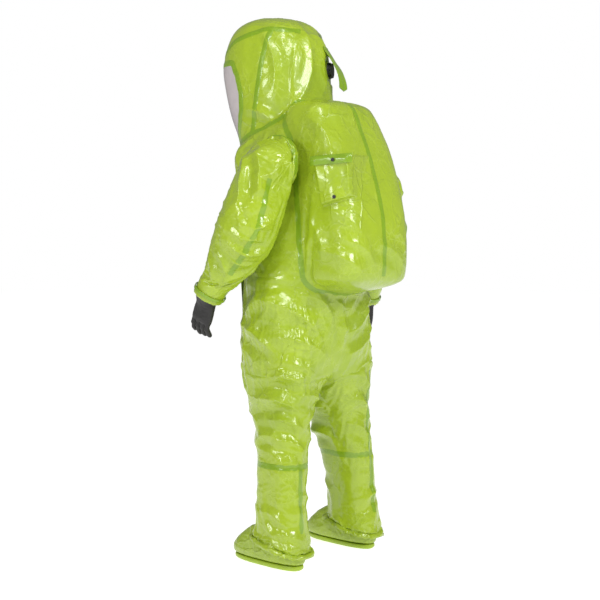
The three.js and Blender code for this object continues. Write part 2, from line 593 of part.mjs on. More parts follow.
// ---- sleeves and gloves -------------------------------------------------------------------------
// The arm is shaped for the left side and hanging; the right arm is its mirror image, swung back.
function arm(name, side, swing) {
  const pivot = vec(0, ...SHOULDER);
  const turn = new THREE.Matrix4().makeRotationX(THREE.MathUtils.degToRad(swing));
  const place = ([x, y, z]) => {
    const p = vec(side * x, y, z).sub(pivot).applyMatrix4(turn).add(pivot);
    return [p.x, p.y, p.z];
  };
  const aim = ([x, y, z]) => {
    const d = vec(side * x, y, z).transformDirection(turn);
    return [d.x, d.y, d.z];
  };
  const ring = (at, along, a, b, power) => limbRing(place(at), aim(along), a, b, power);
  const [ex, ey, ez] = ELBOW;
  const [wx, wy, wz] = WRIST;
  const half = ELBOW_GUSSET / 2;
  const upperWay = [0.16, -0.24, -0.96];
  const lowerWay = vec(wx - ex, wy - ey, wz - ez).normalize().toArray();
  const from = (start, way, distance) => start.map((value, k) => value + way[k] * distance);

  const upperEnd = ring(from(ELBOW, upperWay, -half), upperWay, ELBOW_RADIUS, ELBOW_RADIUS - 10);
  const lowerStart = ring(from(ELBOW, lowerWay, half), lowerWay, ELBOW_RADIUS - 2, ELBOW_RADIUS - 12);
  const [sy, sz] = SHOULDER;
  const upperRings = [
    ring([ARMHOLE_X + GAP, sy, sz], [1, 0, 0], ARMHOLE_Y, ARMHOLE_Z),
    ring([ARMHOLE_X + 38, sy, sz - 5], [0.93, 0, -0.36], ARMHOLE_Y, ARMHOLE_Z - 2),
    ring([ARMHOLE_X + 70, sy - 2, sz - 24], [0.72, -0.08, -0.69], ARMHOLE_Y, ARMHOLE_Z - 6),
    ring([ARMHOLE_X + 90, sy - 8, sz - 62], [0.4, -0.18, -0.9], ARMHOLE_Y + 1, ARMHOLE_Z - 8),
    ring([ARMHOLE_X + 97, sy - 20, sz - 112], [0.2, -0.22, -0.95], ARMHOLE_Y + 9, ARMHOLE_Z - 4),
    upperEnd,
  ];
  add(name + "_upper_sleeve", shell(upperRings, WALL), "laminate");
  const gussetRings = [inset(upperEnd, 0, GAP), ring(ELBOW, from([0, 0, 0], lowerWay, 1), ELBOW_RADIUS + 3,
    ELBOW_RADIUS - 6), inset(lowerStart, 0, -GAP)];
  add(name + "_elbow_gusset", shell(gussetRings, WALL), "laminate");
  const cuffTop = from(WRIST, lowerWay, -CUFF_LENGTH);
  const lowerRings = [
    lowerStart,
    ring(from(ELBOW, lowerWay, half + 55), lowerWay, ELBOW_RADIUS - 16, ELBOW_RADIUS - 24),
    ring(from(cuffTop, lowerWay, -60), lowerWay, CUFF_RADIUS + 20, CUFF_RADIUS + 16),
    ring(cuffTop, lowerWay, CUFF_RADIUS, CUFF_RADIUS, 2),
    ring(WRIST, lowerWay, CUFF_RADIUS, CUFF_RADIUS, 2),
  ];
  add(name + "_lower_sleeve", shell(lowerRings, WALL), "laminate");

  const axis = aim(lowerWay);
  const cuffFrame = frameAt(place(WRIST), axis, aim([0, 1, 0]));
  const ringOuter = CUFF_RADIUS - WALL - RUN;
  const ringInner = ringOuter - CUFF_RING_WALL;
  add(name + "_cuff_ring", tube(ringInner, ringOuter, -CUFF_RING_LENGTH - 6, -6, cuffFrame), "plastic");
  const clampInner = CUFF_RADIUS + GAP;
  const clampMid = -6 - CUFF_RING_LENGTH / 2;
  add(name + "_clamp_band", tube(clampInner, clampInner + CLAMP_THICK, clampMid - CLAMP_WIDTH / 2,
    clampMid + CLAMP_WIDTH / 2, cuffFrame), "steel");

  // The hand hangs a little steeper than the forearm, thumb to the front, palm to the thigh.
  const handWay = [0.0, -0.36, -0.93];
  const gloveRound = ringInner - RUN;
  const along = (d) => from(WRIST, handWay, d);
  const palm = (out) => [
    ring(from(WRIST, lowerWay, -CUFF_RING_LENGTH - 4), lowerWay, gloveRound - out, gloveRound - out, 2),
    ring(from(WRIST, lowerWay, -2), lowerWay, gloveRound - out, gloveRound - out, 2),
    ring(along(22), handWay, 38 - out, 30 - out),
    ring(along(44), handWay, 42 - out, 22 - out, 2.4),
    ring(along(PALM_LENGTH - 14), handWay, 45 - out, 18 - out, 2.6),
    ring(along(PALM_LENGTH - out), handWay, 42 - out, 14 - out, 2.6),
  ];
  const options = { closedEnd: true, sides: PALM_SIDES };
  const curl = [-0.55, -0.18, -0.82];
  const fingers = [-1.5, -0.5, 0.5, 1.5].map((k) => {
    const base = from(along(PALM_LENGTH - 16), [0, 0.93, -0.36], k * 2 * FINGER_RADIUS);
    const length = FINGER_LENGTH - 5 * Math.abs(k + 0.3);
    const knuckle = from(base, handWay, 14 + length * 0.35);
    const tip = from(knuckle, curl, length * 0.65);
    const r = FINGER_RADIUS - 0.6;
    return loft([
      ring(base, handWay, r, r + 1, 2),
      ring(knuckle, from([0, 0, 0], handWay, 1), r, r, 2),
      ring(from(tip, curl, -r), curl, r - 1, r - 1, 2),
      ring(tip, curl, r * 0.5, r * 0.5, 2),
    ], FINGER_SIDES);
  });
  const thumbWay = [-0.3, -0.72, -0.62];
  const thumbBase = from(along(34), [0, -0.93, 0.36], 22);
  const thumb = loft([
    ring(thumbBase, thumbWay, 13, 13, 2),
    ring(from(thumbBase, thumbWay, 34), thumbWay, 12, 12, 2),
    ring(from(thumbBase, thumbWay, 52), thumbWay, 10.5, 10.5, 2),
    ring(from(thumbBase, thumbWay, 60), thumbWay, 5, 5, 2),
  ], FINGER_SIDES);
  const hand = [...fingers, thumb].reduce((all, one) => all.add(one), loft(palm(0), PALM_SIDES));
  const hollow = loft(palm(GLOVE_WALL).map((r, k) => (k ? r : inset(r, 0, -5))), PALM_SIDES);
  add(name + "_outer_glove", largest(hand.subtract(hollow)), "glove");
  add(name + "_glove_liner", shell(palm(GLOVE_WALL + GAP), LINER_WALL, options), "liner");
}
arm("left", 1, 0);
arm("right", -1, RIGHT_ARM_BACK);

// ---- inner waist belt ---------------------------------------------------------------------------
// The belt takes the weight of the suit at the wearer's waist. It lies against the body's wall.
function belt() {
  const waist = torsoRings[3];
  const below = torsoRings[2];
  const above = torsoRings[4];
  const between = (low, high, z) => {
    const share = (z - low.centre.z) / (high.centre.z - low.centre.z);
    const mix = (a, b) => a + (b - a) * share;
    const centre = low.centre.clone().lerp(high.centre, share);
    return { ...low, centre, a: mix(low.a, high.a), b: mix(low.b, high.b), power: mix(low.power, high.power) };
  };
  const out = WALL + BELT_SLACK;
  const rings = [
    inset(between(below, waist, BELT_Z - BELT_HEIGHT / 2), out),
    inset(waist, out),
    inset(between(waist, above, BELT_Z + BELT_HEIGHT / 2), out),
  ];
  add("waist_belt", largest(shell(rings, BELT_THICK, {})), "webbing");
  const seat = waist.centre.y - waist.b + out + BELT_THICK + GAP;
  add("belt_buckle", box(52, 6, BELT_HEIGHT + 8, [0, seat + 6.2, BELT_Z]), "plastic");
}
belt();

// The model's origin is on the floor, under the middle of its own box.
const size = new THREE.Box3().setFromObject(suit, true);
const middle = size.getCenter(new THREE.Vector3());
suit.position.set(-middle.x, -middle.y, -size.min.z);

export default suit;
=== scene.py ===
# %% [markdown]
# # A gas-tight chemical protective suit
# The suit is one garment of welded glossy sheet: body, hood, a bulge on the back for the breathing set, sleeves and
# legs. The rigid frame of the model comes first, because every fabric piece has to sit on it. All lengths below are
# metres in the frame's own axes: +Z up, the wearer faces -Y, and the wearer's left side is +X.

# %% The frame
import json
import math
import bpy
import bmesh
import numpy as np
from mathutils import Matrix, Vector
from mathutils.bvhtree import BVHTree

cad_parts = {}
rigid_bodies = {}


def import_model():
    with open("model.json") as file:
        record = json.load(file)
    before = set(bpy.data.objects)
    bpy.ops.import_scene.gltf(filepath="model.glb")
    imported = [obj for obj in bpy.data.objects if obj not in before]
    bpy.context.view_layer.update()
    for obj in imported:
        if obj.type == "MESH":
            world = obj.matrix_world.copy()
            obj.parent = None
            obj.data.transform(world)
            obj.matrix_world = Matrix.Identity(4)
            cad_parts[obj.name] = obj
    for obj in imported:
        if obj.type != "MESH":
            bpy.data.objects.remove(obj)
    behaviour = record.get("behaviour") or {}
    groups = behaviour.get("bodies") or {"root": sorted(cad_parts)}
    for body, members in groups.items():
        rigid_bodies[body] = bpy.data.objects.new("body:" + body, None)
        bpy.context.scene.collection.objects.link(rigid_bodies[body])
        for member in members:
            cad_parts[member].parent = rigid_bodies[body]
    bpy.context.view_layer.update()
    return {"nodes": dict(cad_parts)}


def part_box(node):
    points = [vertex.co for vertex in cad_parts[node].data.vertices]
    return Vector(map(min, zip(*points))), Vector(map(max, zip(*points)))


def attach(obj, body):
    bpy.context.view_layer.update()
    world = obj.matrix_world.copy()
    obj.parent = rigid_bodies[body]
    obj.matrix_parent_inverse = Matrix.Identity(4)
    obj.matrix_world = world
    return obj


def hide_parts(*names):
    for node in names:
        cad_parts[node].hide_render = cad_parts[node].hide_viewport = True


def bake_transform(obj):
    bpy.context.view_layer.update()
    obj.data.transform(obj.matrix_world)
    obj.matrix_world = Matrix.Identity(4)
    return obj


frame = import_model()
nodes = frame["nodes"]

# %% [markdown]
# ## Camera
# The suit is seen from behind its left shoulder, at chest height and from about four metres, so the two feet and the
# two shoulders keep the sizes that perspective gives them. The camera comes first, because all later choices of
# detail depend on what it shows.

# %% Camera
CAMERA_AZIMUTH = math.radians(132)
CAMERA_DISTANCE = 4.1
CAMERA_HEIGHT = 1.12
LOOK_AT = Vector((0.019, -0.021, 0.918))


def add_camera():
    away = Vector((math.sin(CAMERA_AZIMUTH), -math.cos(CAMERA_AZIMUTH), 0))
    place = Vector((0, 0, CAMERA_HEIGHT)) + away * CAMERA_DISTANCE
    data = bpy.data.cameras.new("camera")
    data.lens = 68.5
    data.sensor_width = 36
    camera = bpy.data.objects.new("camera", data)
    bpy.context.scene.collection.objects.link(camera)
    camera.location = place
    camera.rotation_euler = (LOOK_AT - place).to_track_quat("-Z", "Y").to_euler()
    bpy.context.scene.camera = camera
    return camera


camera = add_camera()
print("camera at", [round(x, 2) for x in camera.location])

# %% [markdown]
# ## Forms
# A garment panel starts as a loft: a few rings, each a rounded rectangle, joined by a skin. A ring is written as the
# front and back it reaches, its height and its half width, in millimetres, as a tailor's sheet would give them.

# %% Rings and lofts
MM = 0.001
SHIFT_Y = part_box("back_bulge_shell")[1][1] - 312 * MM  # the frame's middle lies a little behind the body's
SIDES = 48


def ring(front, back, z, half, x=0.0, tilt=0.0, power=2.4):
    lean = math.radians(tilt)
    centre = Vector((x * MM, (front + back) / 2 * MM + SHIFT_Y, z * MM))
    depth = (back - front) / 2 * MM
    return (centre, Vector((1, 0, 0)), Vector((0, math.cos(lean), math.sin(lean))), half * MM, depth, power)


def limb_ring(centre, along, a, b, power=2.1):
    n = Vector(along).normalized()
    u = (Vector((0, 1, 0)) - n * n.y).normalized()
    return (Vector(centre), u, n.cross(u), a, b, power)


def on_ring(one, angle):
    centre, u, v, a, b, power = one
    bend = lambda value: math.copysign(abs(value) ** (2 / power), value)
    return centre + u * (a * bend(math.cos(angle))) + v * (b * bend(math.sin(angle)))


def smooth_rings(rings, steps=4):
    """More rings along a smooth curve through the given ones."""
    out = []
    count = len(rings)
    for k in range(count - 1):
        before, low, high, after = rings[max(k - 1, 0)], rings[k], rings[k + 1], rings[min(k + 2, count - 1)]
        for s in range(steps):
            t = s / steps
            weights = (-0.5 * t + t * t - 0.5 * t ** 3, 1 - 2.5 * t * t + 1.5 * t ** 3,
                       0.5 * t + 2 * t * t - 1.5 * t ** 3, -0.5 * t * t + 0.5 * t ** 3)
            mixed = []
            for values in zip(before, low, high, after):
                total = values[0] * weights[0]
                for value, weight in zip(values[1:], weights[1:]):
                    total = total + value * weight
                mixed.append(total)
            out.append(tuple(mixed))
    return out + [rings[-1]]


def loft(name, rings, sides=SIDES, steps=4):
    """A closed mesh through the rings, with flat ends."""
    rows = smooth_rings(rings, steps)
    points = [on_ring(row, 2 * math.pi * k / sides) for row in rows for k in range(sides)]
    faces = [(r * sides + k, r * sides + (k + 1) % sides, (r + 1) * sides + (k + 1) % sides, (r + 1) * sides + k)
             for r in range(len(rows) - 1) for k in range(sides)]
    faces.append(tuple(reversed(range(sides))))
    faces.append(tuple(range((len(rows) - 1) * sides, len(rows) * sides)))
    return new_mesh(name, points, faces)


def new_mesh(name, points, faces):
    mesh = bpy.data.meshes.new(name)
    mesh.from_pydata([tuple(p) for p in points], [], faces)
    mesh.update()
    piece = bpy.data.objects.new(name, mesh)
    bpy.context.scene.collection.objects.link(piece)
    return piece

# %% The body's panels as rings
TORSO = [
    ring(-205, 132, 690, 258, power=3.0),
    ring(-214, 142, 800, 260, power=2.7),
    ring(-222, 143, 920, 256),
    ring(-232, 128, 1040, 227),
    ring(-243, 108, 1180, 219, power=2.6),
    ring(-256, 96, 1290, 219, power=3.1),
    ring(-264, 84, 1380, 219, tilt=6, power=3.2),
    ring(-268, 66, 1440, 219, tilt=11, power=3.2),
    ring(-282, 34, 1480, 200, tilt=16, power=2.8),
    ring(-296, 4, 1510, 158, tilt=19),
]
HOOD = [
    ring(-296, 4, 1490, 157, tilt=19),
    ring(-312, 0, 1540, 162, tilt=14),
    ring(-342, 4, 1600, 166, tilt=7, power=2.5),
    ring(-368, 3, 1680, 166, tilt=3, power=2.6),
    ring(-386, 0, 1760, 164, power=2.6),
    ring(-374, -12, 1835, 156),
    ring(-346, -36, 1888, 136),
    ring(-305, -78, 1918, 104, power=2.3),
    ring(-250, -130, 1935, 54, power=2.1),
]
BULGE = [
    ring(70, 286, 986, 156, power=4.2),
    ring(50, 307, 1004, 174, power=4.2),
    ring(40, 312, 1110, 178, power=4.2),
    ring(30, 302, 1217, 178, power=4.2),
    ring(20, 274, 1327, 178, power=4.2),
    ring(0, 236, 1440, 176, power=4.2),
    ring(-30, 194, 1530, 166, power=3.8),
    ring(-30, 160, 1586, 144, power=3.4),
    ring(-24, 122, 1606, 108, power=2.8),
]
STANCE = 195


def leg_rings(side):
    return [
        ring(-112, 136, 70, 90, side * STANCE, tilt=-14),
        ring(-84, 128, 130, 86, side * STANCE, tilt=-8),
        ring(-66, 116, 210, 81, side * (STANCE - 4)),
        ring(-64, 110, 290, 81, side * (STANCE - 10)),
        ring(-68, 106, 356, 84, side * (STANCE - 18)),
        ring(-76, 104, 400, 86, side * (STANCE - 25)),
        ring(-92, 98, 460, 92, side * (STANCE - 35)),
        ring(-120, 96, 540, 98, side * (STANCE - 48)),
        ring(-160, 104, 600, 110, side * (STANCE - 58)),
        ring(-186, 118, 645, 123, side * (STANCE - 66), power=2.7),
        ring(-205, 132, 712, 128, side * 130, power=3.0),
    ]


print("rings for body, hood, bulge and legs")

# %% [markdown]
# ## Sewing and filling the garment
# The panels are joined into one skin with a voxel remesh, as welding makes one garment out of them. A cloth
# simulation then gives it the look of a baggy sheet: the sheet is a few percent larger than the shape that it
# covers, it hangs under its own weight, and what has no room buckles into folds. Places that a stiff piece holds,
# such as the visor's surround, the zip and the hems, are pinned.

# %% Helpers for fabric
def deselect():
    for piece in bpy.context.selected_objects:
        piece.select_set(False)


def make_active(piece):
    deselect()
    piece.select_set(True)
    bpy.context.view_layer.objects.active = piece


def apply_modifiers(piece):
    make_active(piece)
    for modifier in list(piece.modifiers):
        bpy.ops.object.modifier_apply(modifier=modifier.name)


def join(pieces, name):
    make_active(pieces[0])
    for piece in pieces:
        piece.select_set(True)
    bpy.ops.object.join()
    pieces[0].name = name
    return pieces[0]


def remesh(piece, voxel):
    modifier = piece.modifiers.new("remesh", "REMESH")
    modifier.mode = "VOXEL"
    modifier.voxel_size = voxel
    modifier.use_smooth_shade = True
    apply_modifiers(piece)
    return piece


def coords(piece):
    out = np.empty(len(piece.data.vertices) * 3, np.float32)
    piece.data.vertices.foreach_get("co", out)
    return out.reshape(-1, 3).astype(float)


def normals(piece):
    out = np.empty(len(piece.data.vertices) * 3, np.float32)
    piece.data.vertices.foreach_get("normal", out)
    return out.reshape(-1, 3).astype(float)


def set_coords(piece, points):
    piece.data.vertices.foreach_set("co", points.astype(np.float32).ravel())
    piece.data.update()


def copy_of(piece, name):
    twin = piece.copy()
    twin.data = piece.data.copy()
    twin.name = name
    bpy.context.scene.collection.objects.link(twin)
    return twin


def remove(piece):
    mesh = piece.data
    bpy.data.objects.remove(piece)
    bpy.data.meshes.remove(mesh)


def smoothstep(low, high, value):
    t = np.clip((value - low) / (high - low), 0, 1)
    return t * t * (3 - 2 * t)


def edges_of(piece):
    out = np.empty(len(piece.data.edges) * 2, np.int32)
    piece.data.edges.foreach_get("vertices", out)
    return out.reshape(-1, 2)


def relax(points, edges, share, rounds):
    """Each point moves towards the mean of its neighbours, by its own share."""
    points, share = points.copy(), np.broadcast_to(share, len(points))[:, None]
    a, b = edges[:, 0], edges[:, 1]
    count = np.bincount(np.concatenate([a, b]), minlength=len(points))[:, None]
    for _ in range(rounds):
        total = np.stack([np.bincount(a, points[b, k], len(points)) + np.bincount(b, points[a, k], len(points))
                          for k in range(3)], axis=1)
        points += (total / np.maximum(count, 1) - points) * share * (count > 0)
    return points


def waves(points, seed, size, count=9):
    """Slow variation between about -1 and 1: crossing sine waves of about this size in metres."""
    chance = np.random.default_rng(seed)
    total = np.zeros(len(points))
    for _ in range(count):
        way = chance.normal(size=points.shape[1])
        way *= 2 * math.pi / (size * np.linalg.norm(way) * chance.uniform(0.7, 1.5))
        total += np.sin(points @ way + chance.uniform(0, 7))
    return total / math.sqrt(count)


def creases(flat, seed, size, angles=(28, -31, 5), warp=0.45):
    """Sharp folds of a stiff sheet: straight ridges that cross at these angles to the level, from -1 to 1."""
    chance = np.random.default_rng(seed)
    total = np.zeros(len(flat))
    for angle in angles:
        turn = math.radians(90 + angle + chance.uniform(-6, 6))
        length = size * chance.uniform(0.8, 1.3)
        wave = flat @ np.array([math.cos(turn), math.sin(turn)]) / length
        wave += warp * waves(flat, int(chance.integers(1000)), size * 3.2)
        saw = np.abs(wave - np.floor(wave) - 0.5) * 2
        strong = np.clip(0.5 + waves(flat, int(chance.integers(1000)), size * 2.1), 0, 1)
        total += (1 - saw ** 0.75 * 1.6) * strong
    return total / len(angles)


def ridge(flat, start, end, width, height, lean=0.0):
    """One fold from start to end: a sharp crest with hollow sides, highest at mid length."""
    start, end = np.array(start), np.array(end)
    way = end - start
    length = np.linalg.norm(way)
    way = way / length
    off = flat - start
    t = off @ way / length
    across = off @ np.array([-way[1], way[0]]) - 0.12 * length * np.sin(math.pi * np.clip(t, 0, 1))
    taper = np.clip(4 * (t + 0.08) * (1.08 - t) / 1.35, 0, 1)
    side = np.abs(across) / (width * np.where(across > 0, 1 + lean, 1 - lean))
    return height * taper * (np.exp(-side * 1.6) - 0.45 * np.exp(-((side - 1.9) ** 2)))


def settle(piece, pin, slack, frames=22, gravity=1.0, bend=0.6, air=0.0, inside=0.014, stiff=20, cap=0.045):
    """Cloth: the sheet is larger than its form by the share slack, and hangs over a body kept inside it."""
    start = coords(piece)
    slack = np.broadcast_to(slack, len(start))
    inside = np.broadcast_to(inside, len(start))[:, None]
    loose = piece.vertex_groups.new(name="slack")
    for level in range(1, 11):
        chosen = np.nonzero(np.round(slack / slack.max() * 10) == level)[0]
        if len(chosen):
            loose.add([int(i) for i in chosen], level / 10, "REPLACE")
    group = piece.vertex_groups.new(name="pin")
    for level in range(1, 11):
        chosen = np.nonzero(np.round(pin * 10) == level)[0]
        if len(chosen):
            group.add([int(i) for i in chosen], level / 10, "REPLACE")
    wearer = copy_of(piece, "wearer")
    wearer.vertex_groups.clear()
    set_coords(wearer, start - normals(piece) * inside)
    wearer.modifiers.new("hit", "COLLISION")
    wearer.collision.thickness_outer = 0.003
    wearer.collision.cloth_friction = 8
    cloth = piece.modifiers.new("cloth", "CLOTH")
    s = cloth.settings
    s.quality = 5
    s.mass = 0.35
    s.tension_stiffness = stiff
    s.compression_stiffness = stiff
    s.shear_stiffness = stiff * 0.5
    s.bending_stiffness = bend
    s.tension_damping = s.compression_damping = 5
    s.air_damping = 2
    s.vertex_group_mass = "pin"
    s.pin_stiffness = 1.0
    s.vertex_group_shrink = "slack"
    s.shrink_min = 0
    s.shrink_max = -float(slack.max())
    if air:
        s.use_pressure = True
        s.uniform_pressure_force = air
    s.effector_weights.gravity = gravity
    c = cloth.collision_settings
    c.use_collision = True
    c.distance_min = 0.003
    c.use_self_collision = False
    cloth.point_cache.frame_start = 1
    cloth.point_cache.frame_end = frames
    for k in range(1, frames + 1):
        bpy.context.scene.frame_set(k)
    apply_modifiers(piece)
    moved = coords(piece) - start
    length = np.linalg.norm(moved, axis=1, keepdims=True)
    set_coords(piece, start + moved * np.minimum(1, cap / np.maximum(length, 1e-9)))
    remove(wearer)
    bpy.context.scene.frame_set(1)
    return float(length.mean()), float(length.max())


print("helpers ready")

# %% The garment's body: one skin, then cloth
VOXEL = 0.009


def inside_ellipse(points, centre, half):
    """0 at the centre of a box-shaped zone, 1 at its edge, more outside."""
    return np.max(np.abs(points - np.array(centre)) / np.array(half), axis=1)


PANELS = ["hood_panel", "torso_panel", "hip_panel", "bulge_panel", "left_leg_panel", "right_leg_panel",
          "left_splash_cuff_panel", "right_splash_cuff_panel", "visor_sheet"]
VISOR_LOW, VISOR_TOP = 1.478, 1.772


def in_visor(point, margin=0.0):
    """The window: straight top and bottom, a rear edge that bows back at mid height."""
    rise = (point[2] - VISOR_LOW) / (VISOR_TOP - VISOR_LOW)
    if not -margin / 0.3 < rise < 1 + margin / 0.3:
        return False
    return point[1] - SHIFT_Y < -0.262 + 0.048 * math.sin(math.pi * min(max(rise, 0), 1)) + margin


def make_suit():
    parts = [loft("torso", TORSO), loft("hood", HOOD), loft("bulge", BULGE)]
    parts += [loft("leg", leg_rings(side)) for side in (1, -1)]
    forms = [BVHTree.FromPolygons([v.co for v in p.data.vertices], [f.vertices for f in p.data.polygons])
             for p in parts]
    skin = remesh(join(parts, "suit_skin"), VOXEL)
    points = coords(skin)
    nearest = np.array([[form.find_nearest(point)[3] for form in forms] for point in points.tolist()])
    kind = np.argmin(nearest + np.array([0, 0, 0, 0.002, 0.002]), axis=1)
    seat = smoothstep(0.60, 0.64, points[:, 2]) * (1 - smoothstep(0.74, 0.78, points[:, 2]))
    waist = (smoothstep(0.93, 0.96, points[:, 2]) * (1 - smoothstep(1.02, 1.06, points[:, 2]))
             * (points[:, 1] > 0.1) * 0.5)
    set_coords(skin, relax(points, edges_of(skin), np.maximum(seat, waist) * 0.6, 24))
    points = coords(skin)
    x, y, z = points[:, 0], points[:, 1] - SHIFT_Y, points[:, 2]
    armhole = 1 - smoothstep(0.006, 0.035, np.abs(np.abs(x) - 0.219) * 2 +
                             np.maximum(np.hypot(y - 0.02, z - 1.392) - 0.1, 0))
    hem = 1 - smoothstep(0.075, 0.115, z + 0.25 * (y - 0.012))
    visor = (1 - smoothstep(-0.265 + 0.05, -0.20 + 0.03, y)) * smoothstep(1.40, 1.45, z)
    zip_zone = ((1 - smoothstep(0.05, 0.09, np.abs(x - 0.118))) * (y < -0.05)
                * smoothstep(0.70, 0.74, z) * (1 - smoothstep(1.34, 1.38, z)))
    pocket = (1 - smoothstep(1.0, 1.3, inside_ellipse(points, POCKET_AT, (0.06, 0.075, 0.085)))) * (x > 0.08)
    valve = 1 - smoothstep(0.045, 0.09, np.linalg.norm(points - np.array(HOOD_VALVE), axis=1))
    on_bulge = smoothstep(0.10, 0.15, y + 0.35 * smoothstep(1.5, 1.6, z) * (y > -0.02)) * smoothstep(0.97, 1.0, z)
    pin = np.clip(np.maximum.reduce([armhole, hem, visor, zip_zone, pocket, valve, on_bulge * 0.25]), 0, 1)
    slack = (0.06 + 0.06 * (1 - smoothstep(0.55, 0.75, z))
             + 0.03 * smoothstep(0.65, 0.72, z) * (1 - smoothstep(0.85, 1.0, z)))
    inside = 0.02 - 0.014 * on_bulge - 0.008 * smoothstep(1.5, 1.6, z)
    mean, most = settle(skin, pin, slack, frames=24, bend=0.4, air=0.8, inside=inside, cap=0.04)
    print(f"suit skin: {len(points)} points, moved {mean * 1000:.1f} mm on average, {most * 1000:.1f} at most")
    return skin, kind, pin


def panel_of(kind, middle):
    """Which sewn panel a face belongs to, from the form it lies on and its height."""
    if kind == 1:
        return 8 if in_visor(middle) else 0
    if kind == 2:
        return 3
    low_seam = 0.356
    if middle[2] > 0.70 or kind == 0:
        return 1 if middle[2] > 1.004 else 2
    left = middle[0] > 0
    if middle[2] > low_seam:
        return 4 if left else 5
    return 6 if left else 7


valve_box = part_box("hood_valve_body")
HOOD_VALVE = [(valve_box[0][k] + valve_box[1][k]) / 2 for k in range(3)]
pocket_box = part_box("valve_pocket")
POCKET_AT = [(pocket_box[0][k] + pocket_box[1][k]) / 2 for k in range(3)]
suit_skin, skin_kind, skin_pin = make_suit()

# %% Panels: where one sheet ends and the next begins
def share_out(skin, kind):
    """A panel number on every face, one smoothed line between two panels."""
    corners = [list(f.vertices) for f in skin.data.polygons]
    votes = [max(set(kind[c].tolist()), key=kind[c].tolist().count) for c in corners]
    middles = [f.center for f in skin.data.polygons]
    number = np.array([panel_of(v, m) for v, m in zip(votes, middles)])
    mesh = bmesh.new()
    mesh.from_mesh(skin.data)
    mesh.faces.ensure_lookup_table()
    for _ in range(6):
        for face in mesh.faces:
            around = [number[e.link_faces[0].index if e.link_faces[1] is face else e.link_faces[1].index]
                      for e in face.edges if len(e.link_faces) == 2]
            best = max(set(around), key=around.count)
            if best != number[face.index] and around.count(best) >= 3:
                number[face.index] = best
    lines = [[v.index for v in e.verts] for e in mesh.edges
             if len(e.link_faces) == 2 and number[e.link_faces[0].index] != number[e.link_faces[1].index]]
    mesh.free()
    points = coords(skin)
    points = relax(points, np.array(lines), 0.5, 14)
    in_front = np.array([in_visor(point, 0.05) for point in points])
    set_coords(skin, relax(points, edges_of(skin), in_front * 0.5, 10))
    layer = skin.data.attributes.new("panel", "INT", "FACE")
    layer.data.foreach_set("value", number.astype(np.int32))
    print("faces per panel:", dict(zip(PANELS, np.bincount(number, minlength=len(PANELS)).tolist())))


share_out(suit_skin, skin_kind)

# %% Folds and creases of the coated sheet
def keep_on(piece, name, values):
    layer = piece.data.attributes.new(name, "FLOAT", "POINT")
    layer.data.foreach_set("value", np.asarray(values, np.float32))


def kept(piece, name):
    out = np.empty(len(piece.data.vertices), np.float32)
    piece.data.attributes[name].data.foreach_get("value", out)
    return out.astype(float)


def panel_numbers(skin):
    number = np.empty(len(skin.data.polygons), np.int32)
    skin.data.attributes["panel"].data.foreach_get("value", number)
    return number


def subdivide(piece, levels=1):
    modifier = piece.modifiers.new("subdivide", "SUBSURF")
    modifier.levels = modifier.render_levels = levels
    apply_modifiers(piece)


def round_body(points, centre_x, centre_y, radius):
    """Unrolled to a flat sheet: distance round the form, and height."""
    angle = np.arctan2(points[:, 1] - centre_y, points[:, 0] - centre_x)
    return np.stack([angle * radius, points[:, 2]], axis=1)


BODY_FOLDS = [
    # round the body (m, 0 at the left side, towards the back), height; to; width, height of the crest
    ((-0.02, 0.93), (0.20, 0.80), 0.030, 0.016), ((0.10, 0.95), (0.26, 0.87), 0.026, 0.012),
    ((0.52, 0.94), (0.36, 0.80), 0.030, 0.014), ((0.02, 0.80), (0.24, 0.72), 0.026, 0.012),
    ((0.55, 0.84), (0.38, 0.73), 0.026, 0.014), ((-0.14, 0.84), (0.06, 0.74), 0.024, 0.010),
    ((0.30, 0.92), (0.33, 0.76), 0.022, 0.010), ((0.60, 0.93), (0.72, 0.80), 0.026, 0.012),
    ((-0.30, 0.95), (-0.12, 0.88), 0.024, 0.009), ((-0.60, 0.90), (-0.42, 0.80), 0.026, 0.010),
]
LEG_FOLDS = [
    ((-0.06, 0.585), (0.12, 0.535), 0.022, 0.015), ((0.10, 0.60), (0.26, 0.55), 0.020, 0.013),
    ((-0.02, 0.515), (0.14, 0.475), 0.020, 0.016), ((0.16, 0.50), (0.30, 0.535), 0.018, 0.012),
    ((-0.22, 0.56), (-0.08, 0.50), 0.018, 0.010), ((0.02, 0.445), (0.16, 0.405), 0.016, 0.010),
    ((-0.10, 0.43), (0.02, 0.46), 0.016, 0.010), ((0.20, 0.44), (0.31, 0.40), 0.016, 0.010),
    ((-0.05, 0.66), (0.13, 0.63), 0.022, 0.013), ((0.12, 0.69), (0.28, 0.64), 0.022, 0.012),
    ((-0.26, 0.66), (-0.10, 0.60), 0.022, 0.010), ((-0.25, 0.47), (-0.12, 0.42), 0.018, 0.009),
    ((-0.04, 0.20), (0.10, 0.15), 0.014, 0.007), ((0.14, 0.26), (0.25, 0.20), 0.014, 0.006),
    ((-0.20, 0.17), (-0.08, 0.21), 0.014, 0.006), ((0.02, 0.125), (0.15, 0.105), 0.012, 0.006),
]
BULGE_FOLDS = [
    ((0.02, 1.10), (0.17, 1.03), 0.022, 0.012), ((0.10, 1.14), (0.22, 1.05), 0.018, 0.008),
    ((-0.03, 1.55), (0.08, 1.44), 0.018, 0.009), ((0.06, 1.24), (0.20, 1.10), 0.020, 0.007),
    ((0.24, 1.12), (0.36, 1.05), 0.020, 0.007), ((0.56, 1.12), (0.44, 1.03), 0.022, 0.010),
    ((0.0, 1.20), (0.05, 1.06), 0.018, 0.008),
]
